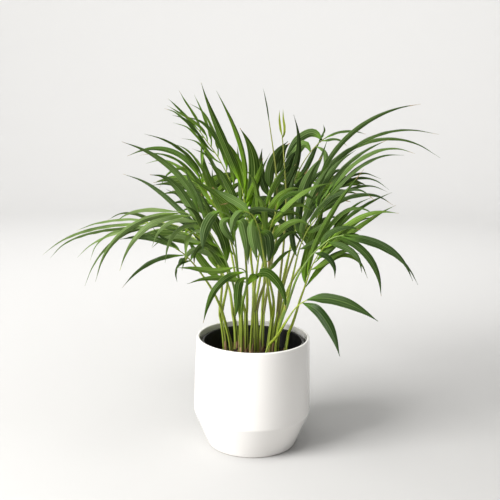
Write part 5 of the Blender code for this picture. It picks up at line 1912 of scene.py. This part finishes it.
@dataclass
class NurseryPot:
    """The thin black growing pot: a turned lip, stacking rings, and drain holes in its floor."""

    segments: int = 168
    wall: float = 0.0013
    bevel: float = 0.004
    softness: float = 0.0006
    lip_reach: float = 0.0027
    lip_outline: tuple[Pair, ...] = ((0.0009, 0.0080), (0.0, 0.0070), (0.0, 0.0012), (0.0010, 0.0))
    rings: tuple[float, ...] = (0.030, 0.062, 0.094)
    ring_outline: tuple[Pair, ...] = ((0.0, 0.0), (0.0006, 0.001), (0.0006, 0.003), (0.0, 0.004))
    inner_heights: tuple[float, ...] = (0.140, 0.094, 0.062, 0.030)
    holes: int = 6
    hole_radius: float = 0.004
    hole_circle: float = 0.040
    hole_depth: float = 0.01
    hole_segments: int = 28
    plastic: PlasticFinish = PlasticFinish()

    def build(self) -> None:
        """Make the nursery pot.

        The lip's outline is in insets from its outside and depths below its top, and a ring's in how far it
        stands out and how far up from its lower edge.
        """
        low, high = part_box("nursery_pot")
        top, base = high.z, low.z
        solid = FrameReader("nursery_pot").points
        lip, foot = widest(solid), widest_below(solid)
        neck = lip - self.lip_reach
        lip_low = top - self.lip_outline[0][1]

        def outer(height: float) -> float:
            """The tapered outside's radius at a height."""
            return foot + (neck - foot) * (height - base) / (top - base)

        profile = [(0.0, base), (foot, base), (outer(base + self.bevel), base + self.bevel)]
        for ring in self.rings:
            profile += [(outer(ring) + out, ring + up) for out, up in self.ring_outline]
        profile.append((outer(lip_low), lip_low))
        profile += [(lip - inset, top - depth) for inset, depth in self.lip_outline]
        profile += [(neck - self.wall, top), (outer(top - self.bevel) - self.wall, top - self.bevel)]
        profile += [(outer(height) - self.wall, height) for height in self.inner_heights]
        profile += [(foot - self.wall, base + self.wall), (0.0, base + self.wall)]
        basket = MeshBasket()
        basket.spin(rounded(profile, self.softness, steps=3), self.segments)
        piece = basket.object("nursery_pot_moulded", (self.plastic.material(),), sharp=60.0)
        self._drill(piece, base)
        place_piece(piece, "black_plastic", "nursery_pot")

    def _drill(self, piece: bpy.types.Object, base: float) -> None:
        """Cut the drain holes through the floor.

        Args:
            piece: The pot.
            base: The height of its underside.
        """
        maker = bmesh.new()
        for index in range(self.holes):
            angle = FULL_TURN * index / self.holes
            spot = Matrix.Translation((self.hole_circle * math.cos(angle), self.hole_circle * math.sin(angle), base))
            bmesh.ops.create_cone(
                maker,
                cap_ends=True,
                segments=self.hole_segments,
                radius1=self.hole_radius,
                radius2=self.hole_radius,
                depth=self.hole_depth,
                matrix=spot,
            )
        mesh = bpy.data.meshes.new("drill")
        maker.to_mesh(mesh)
        maker.free()
        drill = bpy.data.objects.new("drill", mesh)
        bpy.context.scene.collection.objects.link(drill)
        cut = piece.modifiers.new("drain_holes", "BOOLEAN")
        cut.operation = "DIFFERENCE"
        cut.solver = "EXACT"
        cut.object = drill
        bpy.context.view_layer.update()
        graph = bpy.context.evaluated_depsgraph_get()
        finished = bpy.data.meshes.new_from_object(piece.evaluated_get(graph))
        piece.modifiers.clear()
        rough = piece.data
        piece.data = finished
        bpy.data.meshes.remove(rough)
        bpy.data.objects.remove(drill)
        bpy.data.meshes.remove(mesh)
        finished.name = piece.name


# The studio


@dataclass(frozen=True)
class Lamp:
    """One soft lamp: where it hangs, the point it faces, its width and height, watts and colour."""

    name: str
    place: Triple
    target: Triple
    size: Pair
    power: float
    colour: Colour

    def hang(self) -> None:
        """Add the lamp to the scene, unseen by the camera."""
        data = bpy.data.lights.new(self.name, "AREA")
        data.shape = "RECTANGLE"
        data.size, data.size_y = self.size
        data.energy = self.power
        data.color = self.colour
        lamp = bpy.data.objects.new(self.name, data)
        lamp.location = self.place
        lamp.rotation_mode = "QUATERNION"
        lamp.rotation_quaternion = (Vector(self.target) - Vector(self.place)).to_track_quat("-Z", "Y")
        lamp.visible_camera = False
        bpy.context.scene.collection.objects.link(lamp)


@dataclass
class Studio:
    """A pale floor that curves up all round, soft light and the photograph's viewpoint. Angles in degrees."""

    floor_radius: float = 2.3
    bend: float = 1.1
    bend_steps: int = 12
    segments: int = 96
    wall_height: float = 3.2
    paper: Colour = (0.530, 0.530, 0.527)
    air: Colour = (1.0, 0.99, 0.975)
    air_strength: float = 0.38
    sensor_width: float = 36.0
    focal_pixels: float = 800.0
    frame_pixels: float = 500.0
    eye: Triple = (-0.0069, -1.157, 0.5335)
    pitch: float = 11.52
    roll: float = 0.955
    lamps: tuple[Lamp, ...] = (
        Lamp(
            "window_light",
            place=(-1.75, -1.05, 1.35),
            target=(0.0, 0.0, 0.25),
            size=(1.2, 1.2),
            power=92.0,
            colour=(1.0, 0.985, 0.965),
        ),
        Lamp(
            "top_light",
            place=(-0.3, -0.4, 2.4),
            target=(0.0, 0.1, 0.3),
            size=(1.2, 1.2),
            power=24.0,
            colour=(1.0, 0.98, 0.95),
        ),
        Lamp(
            "wall_wash",
            place=(0.0, 0.8, 2.1),
            target=(0.0, 3.2, 1.25),
            size=(2.6, 1.2),
            power=74.0,
            colour=(1.0, 0.99, 0.98),
        ),
    )

    def build(self) -> None:
        """Make the stage, the lights and the camera."""
        self._stage()
        self._air()
        for lamp in self.lamps:
            lamp.hang()
        self._camera()

    def _stage(self) -> None:
        """Spin the floor and its rising edge."""
        maker = bmesh.new()
        profile = [(0.0, 0.0), (self.floor_radius * 0.5, 0.0)]
        for step in range(self.bend_steps + 1):
            angle = math.pi / 2 * step / self.bend_steps
            profile.append((self.floor_radius + self.bend * math.sin(angle), self.bend * (1 - math.cos(angle))))
        profile.append((self.floor_radius + self.bend, self.wall_height))
        ring = [maker.verts.new((radius, 0, height)) for radius, height in profile]
        edges = [maker.edges.new(pair) for pair in zip(ring, ring[1:])]
        bmesh.ops.spin(
            maker,
            geom=ring + edges,
            cent=(0, 0, 0),
            axis=(0, 0, 1),
            angle=FULL_TURN,
            steps=self.segments,
        )
        bmesh.ops.remove_doubles(maker, verts=maker.verts, dist=1e-5)
        bmesh.ops.recalc_face_normals(maker, faces=maker.faces)
        mesh = bpy.data.meshes.new("studio_floor")
        maker.to_mesh(mesh)
        maker.free()
        mesh.shade_smooth()
        sketch = ShaderSketch("studio_paper", Specular_IOR_Level=0.2)
        sketch.set("Base Color", self.paper)
        sketch.set("Roughness", 0.9)
        mesh.materials.append(sketch.material)
        floor = bpy.data.objects.new("studio_floor", mesh)
        bpy.context.scene.collection.objects.link(floor)

    def _air(self) -> None:
        """Set the world's soft light."""
        world = bpy.data.worlds.new("studio_air")
        bpy.context.scene.world = world
        world.use_nodes = True
        shade = world.node_tree.nodes["Background"]
        shade.inputs["Color"].default_value = (*self.air, 1.0)
        shade.inputs["Strength"].default_value = self.air_strength

    def _camera(self) -> None:
        """Stand the camera where the photograph was taken from."""
        pitch, roll = math.radians(self.pitch), math.radians(self.roll)
        right = Vector((1, 0, 0))
        up = Vector((0, math.sin(pitch), math.cos(pitch)))
        back = Vector((0, -math.cos(pitch), math.sin(pitch)))
        across = right * math.cos(roll) + up * math.sin(roll)
        upright = up * math.cos(roll) - right * math.sin(roll)
        data = bpy.data.cameras.new("photo_view")
        data.sensor_width = self.sensor_width
        data.lens = data.sensor_width * self.focal_pixels / self.frame_pixels
        data.clip_start, data.clip_end = 0.02, 50.0
        camera = bpy.data.objects.new("photo_view", data)
        turn = Matrix((across, upright, back)).transposed().to_4x4()
        camera.matrix_world = Matrix.Translation(self.eye) @ turn
        bpy.context.scene.collection.objects.link(camera)
        bpy.context.scene.camera = camera
        bpy.context.scene.view_settings.view_transform = "Standard"


def main() -> None:
    """Build every piece and the studio."""
    logging.basicConfig(level=logging.INFO, format="%(name)s %(message)s")
    CoverPot().build()
    NurseryPot().build()
    SoilBed().build()
    Canes().build()
    DrySheaths().build()
    Fronds().build()
    Studio().build()
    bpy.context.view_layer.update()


if __name__ == "__main__":
    main()
